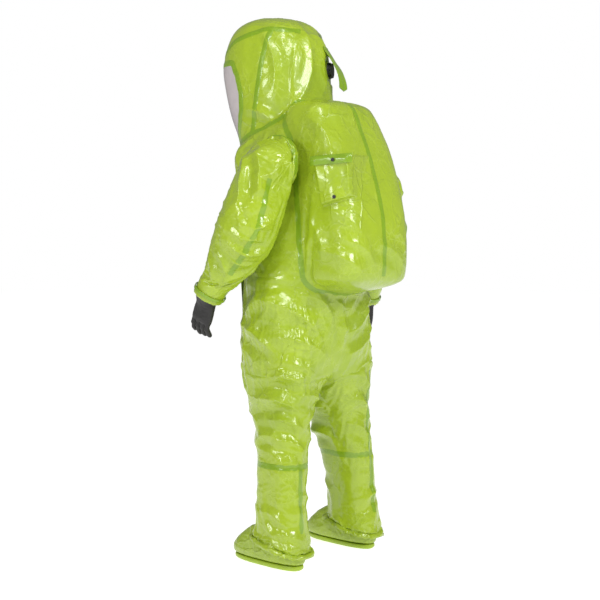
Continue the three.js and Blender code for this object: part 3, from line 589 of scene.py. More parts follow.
HOOD_FOLDS = [
    ((0.22, 1.88), (0.17, 1.60), 0.016, 0.008), ((0.05, 1.86), (0.10, 1.66), 0.014, 0.006),
    ((0.30, 1.84), (0.27, 1.63), 0.014, 0.006), ((-0.02, 1.60), (0.12, 1.52), 0.016, 0.007),
    ((-0.06, 1.50), (0.10, 1.46), 0.016, 0.007), ((0.38, 1.80), (0.40, 1.64), 0.012, 0.005),
]


def crumple(skin, pin):
    keep_on(skin, "held", pin)
    subdivide(skin)
    points, out, held = coords(skin), normals(skin), kept(skin, "held")
    x, y, z = points[:, 0], points[:, 1] - SHIFT_Y, points[:, 2]
    number = panel_numbers(skin)
    corner = np.empty(len(skin.data.loops), np.int32)
    skin.data.loops.foreach_get("vertex_index", corner)
    sides = np.repeat(number, 4)
    share = np.zeros((len(points), len(PANELS)))
    np.add.at(share, (corner, sides), 1)
    share /= np.maximum(share.sum(axis=1, keepdims=True), 1)
    for k in range(len(PANELS)):
        share[:, k] = relax(share[:, [k]].repeat(3, 1), edges_of(skin), 0.6, 5)[:, 0]
    body = round_body(points, 0, SHIFT_Y - 0.04, 0.21)
    height = np.zeros(len(points))
    torso = 0.0060 * creases(body, 3, 0.070) + 0.0012 * creases(body, 4, 0.024)
    hips = 0.0125 * creases(body, 5, 0.100, (24, -34, 60)) + 0.0013 * creases(body, 6, 0.03)
    for fold in BODY_FOLDS:
        hips += ridge(body, *fold)
    behind = round_body(points, 0, SHIFT_Y + 0.13, 0.17)
    bulge = 0.0042 * creases(behind, 7, 0.085, (35, -40, 80)) * np.clip(0.6 + waves(behind, 8, 0.3), 0, 1.3)
    bulge += 0.0008 * creases(behind, 9, 0.028, (20, -60, 75))
    for fold in BULGE_FOLDS:
        bulge += ridge(behind, *fold)
    head = round_body(points, 0, SHIFT_Y - 0.17, 0.165)
    hood = 0.0040 * creases(head, 10, 0.060, (70, -50, 20)) + 0.0010 * creases(head, 11, 0.022, (60, -40, 10))
    hood *= 0.55 + 0.7 * smoothstep(0.12, 0.30, head[:, 0]) * (1 - smoothstep(0.4, 0.5, head[:, 0]))
    for fold in HOOD_FOLDS:
        hood += ridge(head, *fold)
    height += share[:, 0] * hood + share[:, 1] * torso + share[:, 2] * hips + share[:, 3] * bulge
    for side, columns, seed in ((1, (4, 6), 20), (-1, (5, 7), 40)):
        middle = side * np.interp(z, [0.07, 0.21, 0.356, 0.54, 0.712], [0.195, 0.191, 0.177, 0.147, 0.130])
        leg = round_body(points, middle, SHIFT_Y + 0.012, 0.096)
        if side < 0:
            leg[:, 0] = np.where(leg[:, 0] < 0, leg[:, 0] + 2 * math.pi * 0.096, leg[:, 0]) - math.pi * 0.096
        busy = 0.35 + 0.65 * smoothstep(0.36, 0.44, z) - 0.25 * smoothstep(0.62, 0.70, z)
        fold = 0.0150 * busy * creases(leg, seed, 0.098, (22, -26, 8)) + 0.0013 * creases(leg, seed + 1, 0.028)
        for one in LEG_FOLDS:
            fold += ridge(leg, *one)
        height += (share[:, columns[0]] + share[:, columns[1]]) * fold
    near_seam = 1 - 0.75 * smoothstep(0.02, 0.5, 1 - share.max(axis=1))
    height *= (1 - held) * near_seam
    set_coords(skin, points + out * height[:, None])
    skin.data.attributes.remove(skin.data.attributes["held"])
    print("folds up to", round(float(height.max()) * 1000, 1), "mm high")


crumple(suit_skin, skin_pin)

# %% Panels cut apart, with their seam lines
def chains(edges):
    """Edges that meet end to end, as lists of point numbers; a closed one ends where it starts."""
    around = {}
    for a, b in edges:
        around.setdefault(a, []).append(b)
        around.setdefault(b, []).append(a)
    left = {tuple(sorted(e)) for e in edges}
    out = []
    ends = [v for v in around if len(around[v]) != 2]
    for start in ends + list(around):
        while True:
            ahead = [n for n in around[start] if tuple(sorted((start, n))) in left]
            if not ahead:
                break
            chain = [start, ahead[0]]
            left.discard(tuple(sorted(chain)))
            while len(around[chain[-1]]) == 2:
                on = [n for n in around[chain[-1]] if tuple(sorted((chain[-1], n))) in left]
                if not on:
                    break
                left.discard(tuple(sorted((chain[-1], on[0]))))
                chain.append(on[0])
            out.append(chain)
            if len(around[start]) == 2:
                break
    return [c for c in out if len(c) > 12]


def seam_lines(skin):
    number = panel_numbers(skin)
    mesh = bmesh.new()
    mesh.from_mesh(skin.data)
    pairs = {}
    for e in mesh.edges:
        if len(e.link_faces) == 2:
            a, b = sorted((int(number[e.link_faces[0].index]), int(number[e.link_faces[1].index])))
            if a != b:
                pairs.setdefault((PANELS[a], PANELS[b]), []).append(tuple(v.index for v in e.verts))
    mesh.free()
    points = coords(skin)
    return {pair: [points[c] for c in chains(edges)] for pair, edges in pairs.items()}


def window(skin, where):
    """Cut away the faces whose middles lie where the function says."""
    mesh = bmesh.new()
    mesh.from_mesh(skin.data)
    gone = [f for f in mesh.faces if where(f.calc_center_median())]
    bmesh.ops.delete(mesh, geom=gone, context="FACES")
    mesh.to_mesh(skin.data)
    mesh.free()
    return len(gone)


def cut_apart(skin):
    out = {}
    for k, name in enumerate(PANELS):
        panel = copy_of(skin, name)
        mesh = bmesh.new()
        mesh.from_mesh(panel.data)
        layer = mesh.faces.layers.int.get("panel")
        bmesh.ops.delete(mesh, geom=[f for f in mesh.faces if f[layer] != k], context="FACES")
        mesh.to_mesh(panel.data)
        mesh.free()
        out[name] = panel
    return out


def tree_of(*pieces):
    points, faces = [], []
    for piece in pieces:
        faces += [[i + len(points) for i in f.vertices] for f in piece.data.polygons]
        points += [tuple(v.co) for v in piece.data.vertices]
    return BVHTree.FromPolygons(points, faces)


seams = seam_lines(suit_skin)
whole = tree_of(suit_skin)
for pair, found in seams.items():
    print(pair, [len(c) for c in found])


# %% [markdown]
# ## Sleeves
# Each sleeve runs from the flat armhole ring, over the shoulder and the elbow, to the cuff. It is simulated as one
# tube so that its folds run on over the elbow. The right arm hangs 13 degrees further back than the left one.

# %% Sleeves
SHOULDER = Vector((0, 0.020 + SHIFT_Y, 1.392))
ELBOW = (0.330, -0.022, 1.178)
WRIST = (0.362, -0.176, 0.938)
ARM_SWING = {"left": 0, "right": 13}
SIDE = {"left": 1, "right": -1}


def arm_place(name, point):
    side, turn = SIDE[name], Matrix.Rotation(math.radians(ARM_SWING[name]), 3, "X")
    return turn @ (Vector((side * point[0], point[1] + SHIFT_Y, point[2])) - SHOULDER) + SHOULDER


def arm_aim(name, way):
    return Matrix.Rotation(math.radians(ARM_SWING[name]), 3, "X") @ Vector((SIDE[name] * way[0], way[1], way[2]))


def arm_ring(name, point, way, a, b, power=2.1):
    return limb_ring(arm_place(name, point), arm_aim(name, way), a, b, power)


def along(start, way, distance):
    return tuple(s + w * distance for s, w in zip(start, way))


LOWER_WAY = tuple((Vector(WRIST) - Vector(ELBOW)).normalized())
UPPER_WAY = tuple(Vector((0.16, -0.24, -0.96)).normalized())


def sleeve_rings(name):
    x, y, z = 0.218, 0.020, 1.392
    cuff = along(WRIST, LOWER_WAY, -0.046)
    return [
        arm_ring(name, (x - 0.004, y, z), (1, 0, 0), 0.096, 0.096),
        arm_ring(name, (x + 0.012, y, z), (1, 0, 0), 0.096, 0.096),
        arm_ring(name, (x + 0.038, y, z - 0.005), (0.93, 0, -0.36), 0.096, 0.094),
        arm_ring(name, (x + 0.070, y - 0.002, z - 0.024), (0.72, -0.08, -0.69), 0.096, 0.090),
        arm_ring(name, (x + 0.090, y - 0.008, z - 0.062), (0.4, -0.18, -0.9), 0.097, 0.088),
        arm_ring(name, (x + 0.097, y - 0.020, z - 0.112), (0.2, -0.22, -0.95), 0.105, 0.092),
        arm_ring(name, along(ELBOW, UPPER_WAY, -0.033), UPPER_WAY, 0.113, 0.103),
        arm_ring(name, along(ELBOW, LOWER_WAY, 0.033), LOWER_WAY, 0.111, 0.101),
        arm_ring(name, along(ELBOW, LOWER_WAY, 0.088), LOWER_WAY, 0.097, 0.089),
        arm_ring(name, along(cuff, LOWER_WAY, -0.06), LOWER_WAY, 0.075, 0.071),
        arm_ring(name, cuff, LOWER_WAY, 0.0545, 0.0545, 2),
        arm_ring(name, WRIST, LOWER_WAY, 0.0545, 0.0545, 2),
        arm_ring(name, along(WRIST, LOWER_WAY, 0.003), LOWER_WAY, 0.0545, 0.0545, 2),
    ]


SLEEVE_FOLDS = [
    # round the arm (m, 0 on its outer side, towards the back), minus the way down it; to; width, height
    ((0.02, -0.05), (0.08, -0.17), 0.018, 0.012), ((0.10, -0.04), (0.06, -0.15), 0.016, 0.010),
    ((-0.04, -0.07), (0.02, -0.20), 0.018, 0.009), ((0.14, -0.22), (0.02, -0.27), 0.018, 0.011),
    ((0.16, -0.28), (0.03, -0.31), 0.018, 0.012), ((0.15, -0.34), (0.04, -0.345), 0.016, 0.009),
    ((-0.10, -0.24), (-0.20, -0.28), 0.016, 0.011), ((-0.08, -0.30), (-0.19, -0.31), 0.016, 0.011),
    ((0.00, -0.36), (0.09, -0.43), 0.014, 0.007), ((-0.05, -0.40), (0.04, -0.46), 0.014, 0.006),
    ((0.08, -0.46), (0.14, -0.40), 0.012, 0.006),
]


def make_sleeve(name):
    sleeve = remesh(loft(name + "_sleeve", sleeve_rings(name)), 0.0065)
    points = coords(sleeve)
    down = points - np.array(arm_place(name, WRIST))
    from_wrist = -down @ np.array(arm_aim(name, LOWER_WAY))
    at_armhole = 1 - smoothstep(0.008, 0.03, np.abs(points[:, 0]) - 0.218)
    pin = np.maximum(at_armhole, 1 - smoothstep(0.04, 0.07, from_wrist))
    mean, most = settle(sleeve, pin, 0.11, frames=20, bend=0.3, inside=0.02, cap=0.035)
    print(f"{sleeve.name}: {len(points)} points, moved {mean * 1000:.1f} mm on average, {most * 1000:.1f} at most")
    keep_on(sleeve, "held", pin)
    subdivide(sleeve)
    points, out, held = coords(sleeve), normals(sleeve), kept(sleeve, "held")
    line = [np.array(arm_place(name, p)) for p in ((0.218, 0.020, 1.392), (0.300, 0.004, 1.30), ELBOW, WRIST)]
    best = np.full(len(points), 9.0)
    length, axis = np.zeros(len(points)), np.zeros((len(points), 3))
    done = 0.0
    for a, b in zip(line, line[1:]):
        way = (b - a) / np.linalg.norm(b - a)
        t = np.clip((points - a) @ way, 0, np.linalg.norm(b - a))
        off = points - a - t[:, None] * way
        far = np.linalg.norm(off, axis=1)
        nearer = far < best
        best[nearer], length[nearer], axis[nearer] = far[nearer], done + t[nearer], off[nearer]
        done += np.linalg.norm(b - a)
    angle = np.arctan2(axis[:, 1], axis[:, 0] * SIDE[name])
    flat = np.stack([angle * 0.09, -length], axis=1)
    busy = 0.55 + 0.45 * np.exp(-((length - 0.26) / 0.09) ** 2) + 0.2 * np.exp(-((length - 0.03) / 0.05) ** 2)
    fold = 0.0095 * busy * creases(flat, 60 + SIDE[name], 0.075, (26, -30, 75)) + 0.0022 * creases(flat, 64, 0.026)
    for one in SLEEVE_FOLDS:
        fold += ridge(flat, *one)
    set_coords(sleeve, points + out * (fold * (1 - held))[:, None])
    sleeve.data.attributes.remove(sleeve.data.attributes["held"])
    return sleeve


sleeves = {name: make_sleeve(name) for name in SIDE}

# %% [markdown]
# ## The panels as separate sheets
# The settled skin is cut along the lines where the real sheets are welded, so that hood, body, bulge, legs and
# splash cuffs are pieces of their own. The window sheet of the hood is cut out in the same way.

# %% Panels
panels = cut_apart(suit_skin)
remove(suit_skin)
PANEL_NODES = {
    "hood_panel": "hood_shell", "torso_panel": "torso_shell",
    "hip_panel": "hip_shell", "bulge_panel": "back_bulge_shell",
    "left_leg_panel": "left_trouser_leg", "right_leg_panel": "right_trouser_leg",
    "left_splash_cuff_panel": "left_splash_cuff", "right_splash_cuff_panel": "right_splash_cuff",
    "visor_sheet": "visor_lens",
}
MATERIAL_OF = {}


def thicken(piece, thickness, offset=-1.0):
    modifier = piece.modifiers.new("thickness", "SOLIDIFY")
    modifier.thickness = thickness
    modifier.offset = offset
    apply_modifiers(piece)


def use(piece, material, body, *replaced):
    """One finished piece: its material's name, the body it moves with and the solids it stands for."""
    MATERIAL_OF[piece.name] = material
    make_active(piece)
    bpy.ops.object.shade_smooth()
    if body:
        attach(piece, body)
    if replaced:
        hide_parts(*replaced)
    return piece


def over_elbow(piece):
    """Bakes the piece's placement into its points."""
    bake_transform(piece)


def open_hem(panel, side):
    """The splash cuff's lower edge stays open round the boot, a little wider than it."""
    points = coords(panel)
    low = 1 - smoothstep(0.075, 0.16, points[:, 2])
    middle = np.array([side * STANCE * MM, SHIFT_Y + 0.012])
    points[:, :2] += (points[:, :2] - middle) * (low * 0.05)[:, None]
    set_coords(panel, points)
    return window(panel, lambda m: m.z < 0.078 - 0.25 * (m.y - SHIFT_Y - 0.012))


for name in PANELS:
    panel = panels[name]
    if name.endswith("splash_cuff_panel"):
        open_hem(panel, 1 if name.startswith("left") else -1)
        thicken(panel, 0.0012)
    if name == "visor_sheet":
        thicken(panel, 0.0015, 1.0)
    use(panel, "lens" if name == "visor_sheet" else "lime", "suit", PANEL_NODES[name])
    print(name, len(panel.data.polygons), "faces")

for name, sleeve in sleeves.items():
    use(sleeve, "lime", None, name + "_upper_sleeve", name + "_elbow_gusset", name + "_lower_sleeve")
    over_elbow(sleeve)

# %% [markdown]
# ## Welded seam tapes
# Each seam of a gas-tight suit is sewn and then covered by a welded tape about 20 mm wide, a little greener and
# glossier than the sheet. A tape is laid as a strip along its seam line and pressed on to the sheet below it.

# %% Seam tapes
def resample(path, step, closed=False):
    path = np.asarray(path, float)
    gaps = np.linalg.norm(np.diff(path, axis=0), axis=1)
    run = np.concatenate([[0], np.cumsum(gaps)])
    count = max(int(run[-1] / step), 4)
    at = np.linspace(0, run[-1], count + 1)
    out = np.stack([np.interp(at, run, path[:, k]) for k in range(3)], axis=1)
    for _ in range(5):
        inner = (out[:-2] + out[2:]) / 2
        out[1:-1] = out[1:-1] * 0.5 + inner * 0.5
        if closed:
            out[0] = out[-1] = out[0] * 0.5 + (out[1] + out[-2]) / 4
    return out


def ribbon(name, path, surface, width=0.020, lift=0.0012, edge=0.0003, closed=None, across=5):
    """A strip along the path, pressed on to the surface: a raised middle, edges that meet the sheet."""
    if closed is None:
        closed = np.linalg.norm(np.array(path[0]) - np.array(path[-1])) < 0.004
    path = resample(path, 0.006, closed)
    count = len(path)
    rows = []
    last = None
    for k in range(count):
        ahead = path[(k + 1) % (count - 1)] if closed else path[min(k + 1, count - 1)]
        back = path[(k - 1) % (count - 1)] if closed else path[max(k - 1, 0)]
        way = Vector(ahead - back).normalized()
        spot, out, _, _ = surface.find_nearest(Vector(path[k]))
        side = way.cross(out).normalized()
        if last is not None:
            side = (side + last).normalized()
        last = side
        row = []
        for j in range(across):
            off = (j / (across - 1) - 0.5) * width
            near, normal, _, _ = surface.find_nearest(Vector(path[k]) + side * off)
            tall = edge if j in (0, across - 1) else lift
            if normal.dot(out) < 0.2:
                normal = out
            row.append(near + normal * tall)
        rows.append(row)
    points = np.array([[tuple(p) for p in row] for row in rows])
    smooth = points.copy()
    smooth[1:-1] = points[1:-1] * 0.5 + (points[:-2] + points[2:]) * 0.25
    points = smooth.reshape(-1, 3)
    faces = []
    for k in range(count - 1):
        for j in range(across - 1):
            a = k * across + j
            faces.append((a, a + 1, a + across + 1, a + across))
    piece = new_mesh(name, points, faces)
    layer = piece.data.uv_layers.new(name="along")
    for loop in piece.data.loops:
        k, j = divmod(loop.vertex_index, across)
        layer.data[loop.index].uv = (k * 0.006, j / (across - 1))
    return piece


def facing_out(piece, surface):
    face = piece.data.polygons[len(piece.data.polygons) // 2]
    _, out, _, _ = surface.find_nearest(face.center)
    if face.normal.dot(out) < 0:
        piece.data.flip_normals()
    return piece


def laid(name, path, surface, *sizes, **more):
    return facing_out(ribbon(name, path, surface, *sizes, **more), surface)


def line_by_rays(starts, way, surface):
    """Where rays meet the surface: a seam line drawn on the garment from outside."""
    hits = [surface.ray_cast(Vector(start), Vector(way), 2.0)[0] for start in starts]
    return [tuple(hit) for hit in hits if hit is not None]


def span(start, end, count):
    start, end = np.array(start, float), np.array(end, float)
    return [tuple(start + (end - start) * k / (count - 1)) for k in range(count)]


tapes = []
BUTT_WELDS = {("torso_panel", "hip_panel"), ("hip_panel", "left_leg_panel"), ("hip_panel", "right_leg_panel"),
              ("left_leg_panel", "right_leg_panel")}  # welded edge to edge, with no tape outside
for pair, found in seams.items():
    if pair in BUTT_WELDS:
        continue
    wide = 0.026 if "visor_sheet" in pair else 0.020
    for k, path in enumerate(found):
        title = "tape_" + "_".join(side.replace("_panel", "") for side in pair) + f"_{k}"
        tapes.append(laid(title, path, whole, wide, lift=0.0022 if "visor_sheet" in pair else 0.0012))

Y0 = SHIFT_Y
EXTRA_SEAMS = {
    "bulge_back": (span((0, 1.2, 1.600), (0, 1.2, 1.01), 60), (0, -1, 0)),
    "hood_side": (span((1.2, Y0 - 0.100, 1.878), (1.2, Y0 - 0.165, 1.50), 50), (-1, 0, 0)),
    "hood_side_right": (span((-1.2, Y0 - 0.100, 1.878), (-1.2, Y0 - 0.165, 1.50), 50), (1, 0, 0)),
    "left_leg_back": (span((0.185, 1.2, 0.352), (0.20, 1.2, 0.10), 50), (0, -1, 0)),
    "right_leg_back": (span((-0.185, 1.2, 0.66), (-0.20, 1.2, 0.10), 70), (0, -1, 0)),
}
for name, (starts, way) in EXTRA_SEAMS.items():
    path = line_by_rays(starts, way, whole)
    if len(path) > 8:
        tapes.append(laid("tape_" + name, path, whole))
for side in (1, -1):
    ys = np.linspace(-0.362, -0.030, 44)
    zs = np.interp(ys, [-0.362, -0.26, -0.12, -0.03], [1.797, 1.845, 1.876, 1.866])
    crown = line_by_rays([(side * 1.2, Y0 + y, z) for y, z in zip(ys, zs)], (-side, 0, 0), whole)
    tapes.append(laid("tape_crown_" + ("left" if side > 0 else "right"), crown, whole))
visor_band = [t for t in tapes if "visor_sheet" in t.name]
tapes = [t for t in tapes if t not in visor_band]
for tape in tapes:
    use(tape, "tape", "suit")
band = join(visor_band, "visor_band") if len(visor_band) > 1 else visor_band[0]
band.name = "visor_band"
use(band, "tape", "suit", "visor_frame")

for name, side in SIDE.items():
    arm = tree_of(sleeves[name])
    centre = Vector(arm_place(name, (0.218, 0.020, 1.392)))
    ring_line = [centre + Vector((side * 0.012, math.cos(a) * 0.0965, math.sin(a) * 0.0965))
                 for a in np.linspace(0, 2 * math.pi, 80)]
    use(laid(name + "_armhole_tape", [tuple(p) for p in ring_line], arm, closed=True), "tape", name + "_upper_arm")
    under = []
    upper_line = span(along(ELBOW, UPPER_WAY, -0.14), along(ELBOW, UPPER_WAY, -0.02), 20)
    for p in upper_line + span(ELBOW, along(WRIST, LOWER_WAY, -0.06), 40):
        hit = arm.ray_cast(arm_place(name, p), arm_aim(name, (0.25, 0.9, 0.25)), 0.5)[0]
        if hit is not None:
            under.append(tuple(hit))
    seam = laid(name + "_sleeve_tape", under, arm)
    use(seam, "tape", None)
    over_elbow(seam)
print(len(tapes), "tapes on the body")

# %% [markdown]
# ## The covered front zip
# The gas-tight zip runs down the wearer's left front. Its woven tapes are welded to the body, a slider and its pull
# ride on the teeth, and a bowed storm flap closes over it on a strip of hook and loop.

# %% Zip, stops and the strips beside it
ZIP_MIDDLE = Vector((0.1181, -0.1898, 1.045))
ZIP_ACROSS = Vector((0.9581, 0.2853, 0.0245))
ZIP_IN = Vector((-0.2864, 0.9546, 0.0818))
ZIP_UP = Vector((0.0, -0.0854, 0.9963))


def zip_line(across, reach, count=90):
    starts = [ZIP_MIDDLE + ZIP_ACROSS * across + ZIP_UP * t - ZIP_IN * 0.2
              for t in np.linspace(-reach, reach, count)]
    return line_by_rays([tuple(p) for p in starts], tuple(ZIP_IN), whole)


for name, across, width, reach, lift, material in (
        ("left_zip_tape", 0.016, 0.022, 0.298, 0.0012, "woven"),
        ("right_zip_tape", -0.016, 0.022, 0.298, 0.0012, "woven"),
        ("loop_strip", 0.036, 0.016, 0.302, 0.0018, "loops"),
        ("storm_flap_seam", -0.041, 0.010, 0.302, 0.0020, "tape")):
    use(laid(name + "_cloth", zip_line(across, reach), whole, width, lift), material, "suit", name)


def zip_teeth():
    bpy.ops.mesh.primitive_cube_add(size=1)
    tooth = bpy.context.object
    tooth.name = "zip_teeth"
    bpy.ops.object.mode_set(mode="EDIT")
    bpy.ops.mesh.select_all(action="SELECT")
    bpy.ops.transform.resize(value=(0.0052, 0.0030, 0.0022))
    bpy.ops.transform.translate(value=(0.0016, 0, 0))
    bpy.ops.mesh.bevel(offset=0.0005, segments=2, affect="EDGES")
    bpy.ops.mesh.duplicate()
    bpy.ops.transform.translate(value=(-0.0032, 0, 0.00185))
    bpy.ops.object.mode_set(mode="OBJECT")
    row = tooth.modifiers.new("row", "ARRAY")
    row.count = 148
    row.use_relative_offset = False
    row.use_constant_offset = True
    row.constant_offset_displace = (0, 0, 0.0037)
    apply_modifiers(tooth)
    points = coords(tooth)
    line = np.array(zip_line(0.0, 0.280, 160))
    up = points[:, 2] / (148 * 0.0037)
    run = np.linspace(0, 1, len(line))
    base = np.stack([np.interp(up, run, line[:, k]) for k in range(3)], axis=1)
    placed = base + points[:, [0]] * np.array(ZIP_ACROSS) + points[:, [1]] * np.array(ZIP_IN)
    set_coords(tooth, placed - np.array(ZIP_IN) * 0.0024)
    return tooth


teeth = zip_teeth()
use(teeth, "metal", "suit", "zip_chain")
bpy.ops.object.select_all(action="DESELECT")


def block(name, size, bevel):
    """A small moulded block: a cube scaled, its edges rounded."""
    bpy.ops.mesh.primitive_cube_add(size=1)
    piece = bpy.context.object
    piece.name = name
    bpy.ops.object.mode_set(mode="EDIT")
    bpy.ops.mesh.select_all(action="SELECT")
    bpy.ops.transform.resize(value=size)
    bpy.ops.mesh.bevel(offset=bevel, segments=3, affect="EDGES")
    bpy.ops.object.mode_set(mode="OBJECT")
    return piece


def set_in(piece, centre, right, inward, up):
    """Place a finished block: its own x, y and z along these three directions."""
    turn = np.array([right, inward, up])
    set_coords(piece, coords(piece) @ turn + np.array(centre))
    return piece


def box_middle(name):
    low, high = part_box(name)
    return Vector([(low[k] + high[k]) / 2 for k in range(3)])


slider = block("slider_body", (0.013, 0.0048, 0.024), 0.0015)
set_in(slider, box_middle("zip_slider"), ZIP_ACROSS, ZIP_IN, ZIP_UP)
use(slider, "metal", "zip_runner", "zip_slider")
pull = block("slider_pull", (0.009, 0.0018, 0.037), 0.0007)
set_in(pull, box_middle("zip_pull"), ZIP_ACROSS, ZIP_IN, ZIP_UP)
use(pull, "metal", "zip_tab", "zip_pull")
for name in ("upper_zip_stop", "lower_zip_stop"):
    stop = block(name + "_clip", (0.015, 0.006, 0.006), 0.0012)
    set_in(stop, box_middle(name) - ZIP_IN * 0.001, ZIP_ACROSS, ZIP_IN, ZIP_UP)
    use(stop, "metal", "suit", name)

# %% Storm flap
def sheet_grid(name, rows):
    """A sheet from a grid of points: rows of equal length."""
    count, across = len(rows), len(rows[0])
    faces = [(k * across + j, k * across + j + 1, (k + 1) * across + j + 1, (k + 1) * across + j)
             for k in range(count - 1) for j in range(across - 1)]
    return new_mesh(name, [p for row in rows for p in row], faces)


def face_towards(piece, way):
    total = Vector((0, 0, 0))
    for face in piece.data.polygons:
        total += face.normal * face.area
    if total.dot(Vector(way)) < 0:
        piece.data.flip_normals()
    return piece


def storm_flap():
    rows = []
    half = 0.046
    for t in np.linspace(-0.314, 0.314, 150):
        row = []
        for a in np.linspace(-half, half, 22):
            bow = 0.0027 + 0.0216 * math.cos(a / half * 1.25) ** 2
            wave = 0.0016 * math.sin(t * 31) * (a / half) + 0.0010 * math.sin(t * 74 + 2 * a / half)
            base = ZIP_MIDDLE + ZIP_ACROSS * a + ZIP_UP * t
            hit = whole.ray_cast(base - ZIP_IN * 0.2, ZIP_IN, 0.4)[0]
            high = (base - hit).dot(ZIP_IN) if hit is not None else 0.0
            row.append(tuple(base - ZIP_IN * max(bow + wave * (bow > 0.006), high + 0.0030)))
        rows.append(row)
    flap = face_towards(sheet_grid("storm_flap_cloth", rows), -ZIP_IN)
    thicken(flap, 0.0012)
    return flap


flap = storm_flap()
use(flap, "tape", "entry_flap", "storm_flap")

# %% [markdown]
# ## Rain cover over the hood's valve
# A soft cover hangs from a welded hem above the valve. Its lower edge is cut to a point and stands off the hood.

# %% Hood cover
def hood_cover():
    across = Vector((-0.8910, -0.4540, 0))
    away = Vector((-0.4540, 0.8910, 0))
    root = Vector((-0.0843, 0.0110, 1.812))
    top = []
    for a in np.linspace(-0.052, 0.052, 25):
        hit = whole.ray_cast(root + across * a + away * 0.3, -away, 0.6)[0]
        top.append(hit + away * 0.0035)
    rows = []
    for s in np.linspace(0, 1, 40):
        row = []
        for k, a in enumerate(np.linspace(-0.052, 0.052, 25)):
            share = a / 0.052
            down = 0.148 * s * (1 - 0.20 * abs(share + 0.35) ** 1.3)
            stand = 0.066 * math.sin(s * math.pi / 2) - 0.010 * s * abs(share)
            ripple = 0.004 * s * math.sin(3.4 * share + 1.0) + 0.002 * s * math.sin(9 * share)
            flat = top[k] * (1 - s) + (root + across * (a * (1 - 0.25 * s))) * s
            middle = top[12].dot(away)
            out_now = top[k].dot(away) * (1 - s) + middle * s
            p = flat + away * (out_now - flat.dot(away) + stand + ripple) - Vector((0, 0, down))
            row.append(tuple(p))
        rows.append(row)
    cover = face_towards(sheet_grid("hood_cover_cloth", rows), away)
    thicken(cover, 0.0014)
    return cover, [tuple(p + Vector((0, 0, 0.004))) for p in top]


cover, hem_line = hood_cover()
use(cover, "tape", "hood_rain_cover", "hood_valve_cover")
use(laid("hood_cover_hem_tape", hem_line, whole, 0.016, 0.0024), "tape", "suit", "hood_cover_hem")

# %% [markdown]
# ## Pocket over the bulge's valve
# A bellows pocket of the same sheet is welded over the bulge's exhaust valve, low and a little crumpled, with a
# narrow lid along its top and snap studs.

# %% Pocket
POCKET_MIDDLE = Vector((0.1719, 0.2654, 1.340))
POCKET_RIGHT = Vector((-0.3420, 0.9397, 0))
POCKET_OUT = Vector((0.9397, 0.3420, 0))
POCKET_CORNERS = [(-0.073, 0.068), (0.073, 0.076), (0.073, -0.064), (-0.036, -0.093)]  # its lower edge slants
POCKET_FULL = 0.0235  # how far out the middle of its face stands


def pocket_point(u, v):
    """u and v from 0 to 1 across and up the pocket's face, as right and up in metres."""
    (a, b), (c, d), (e, f), (g, h) = POCKET_CORNERS
    right = (a * (1 - u) + c * u) * v + (g * (1 - u) + e * u) * (1 - v)
    high = (b * (1 - u) + d * u) * v + (h * (1 - u) + f * u) * (1 - v)
    return right, high


def off_pocket(right, high, level):
    return POCKET_MIDDLE + POCKET_RIGHT * right + Vector((0, 0, high)) + POCKET_OUT * level


def level_on(surface, right, high):
    """How far out the surface lies there, measured from the pocket's own middle."""
    hit = surface.ray_cast(off_pocket(right, high, 0.3), -POCKET_OUT, 0.6)[0]
    return (hit - POCKET_MIDDLE).dot(POCKET_OUT)


def pocket():
    steps = [-0.035, 0.0, 0.012, 0.03] + list(np.linspace(0.06, 0.94, 30)) + [0.97, 0.988, 1.0, 1.035]
    rows = []
    for v in steps:
        row = []
        for u in steps:
            right, high = pocket_point(min(max(u, -0.03), 1.03), min(max(v, -0.03), 1.03))
            floor_level = level_on(whole, right, high)
            edge = min(u, v, 1 - u, 1 - v)
            rise = 0.0008 if edge < 0 else 0.004 + 0.021 * min(edge / 0.02, 1) ** 0.5
            flat = np.array([[right, high]])
            rumple = 0.0030 * float(creases(flat, 71, 0.050, (20, -50, 70))[0])
            rumple += 0.0035 * float(waves(flat, 72, 0.09)[0])
            inner = smoothstep(0.0, 0.09, np.array(max(edge, 0.0)))
            full = POCKET_FULL - 0.006 * (1 - v) + rumple
            level = max(floor_level + rise, full * inner + (floor_level + rise) * (1 - inner))
            row.append(tuple(off_pocket(right, high, level)))
        rows.append(row)
    piece = face_towards(sheet_grid("pocket_cloth", rows), POCKET_OUT)
    subdivide(piece)
    return piece


pocket_piece = pocket()
use(pocket_piece, "lime", "suit", "valve_pocket")
pocket_tree = tree_of(pocket_piece, bpy.data.objects["bulge_panel"])


def spread(levels, rounds):
    """Each value becomes the highest of its neighbours, this many times over."""
    for _ in range(rounds):
        wide = np.pad(levels, 1, mode="edge")
        rows, columns = levels.shape
        levels = np.max([wide[a:a + rows, b:b + columns] for a in range(3) for b in range(3)], axis=0)
    return levels


def even_out(levels, rounds):
    for _ in range(rounds):
        wide = np.pad(levels, 1, mode="edge")
        levels = (levels * 4 + wide[:-2, 1:-1] + wide[2:, 1:-1] + wide[1:-1, :-2] + wide[1:-1, 2:]) / 8
    return levels


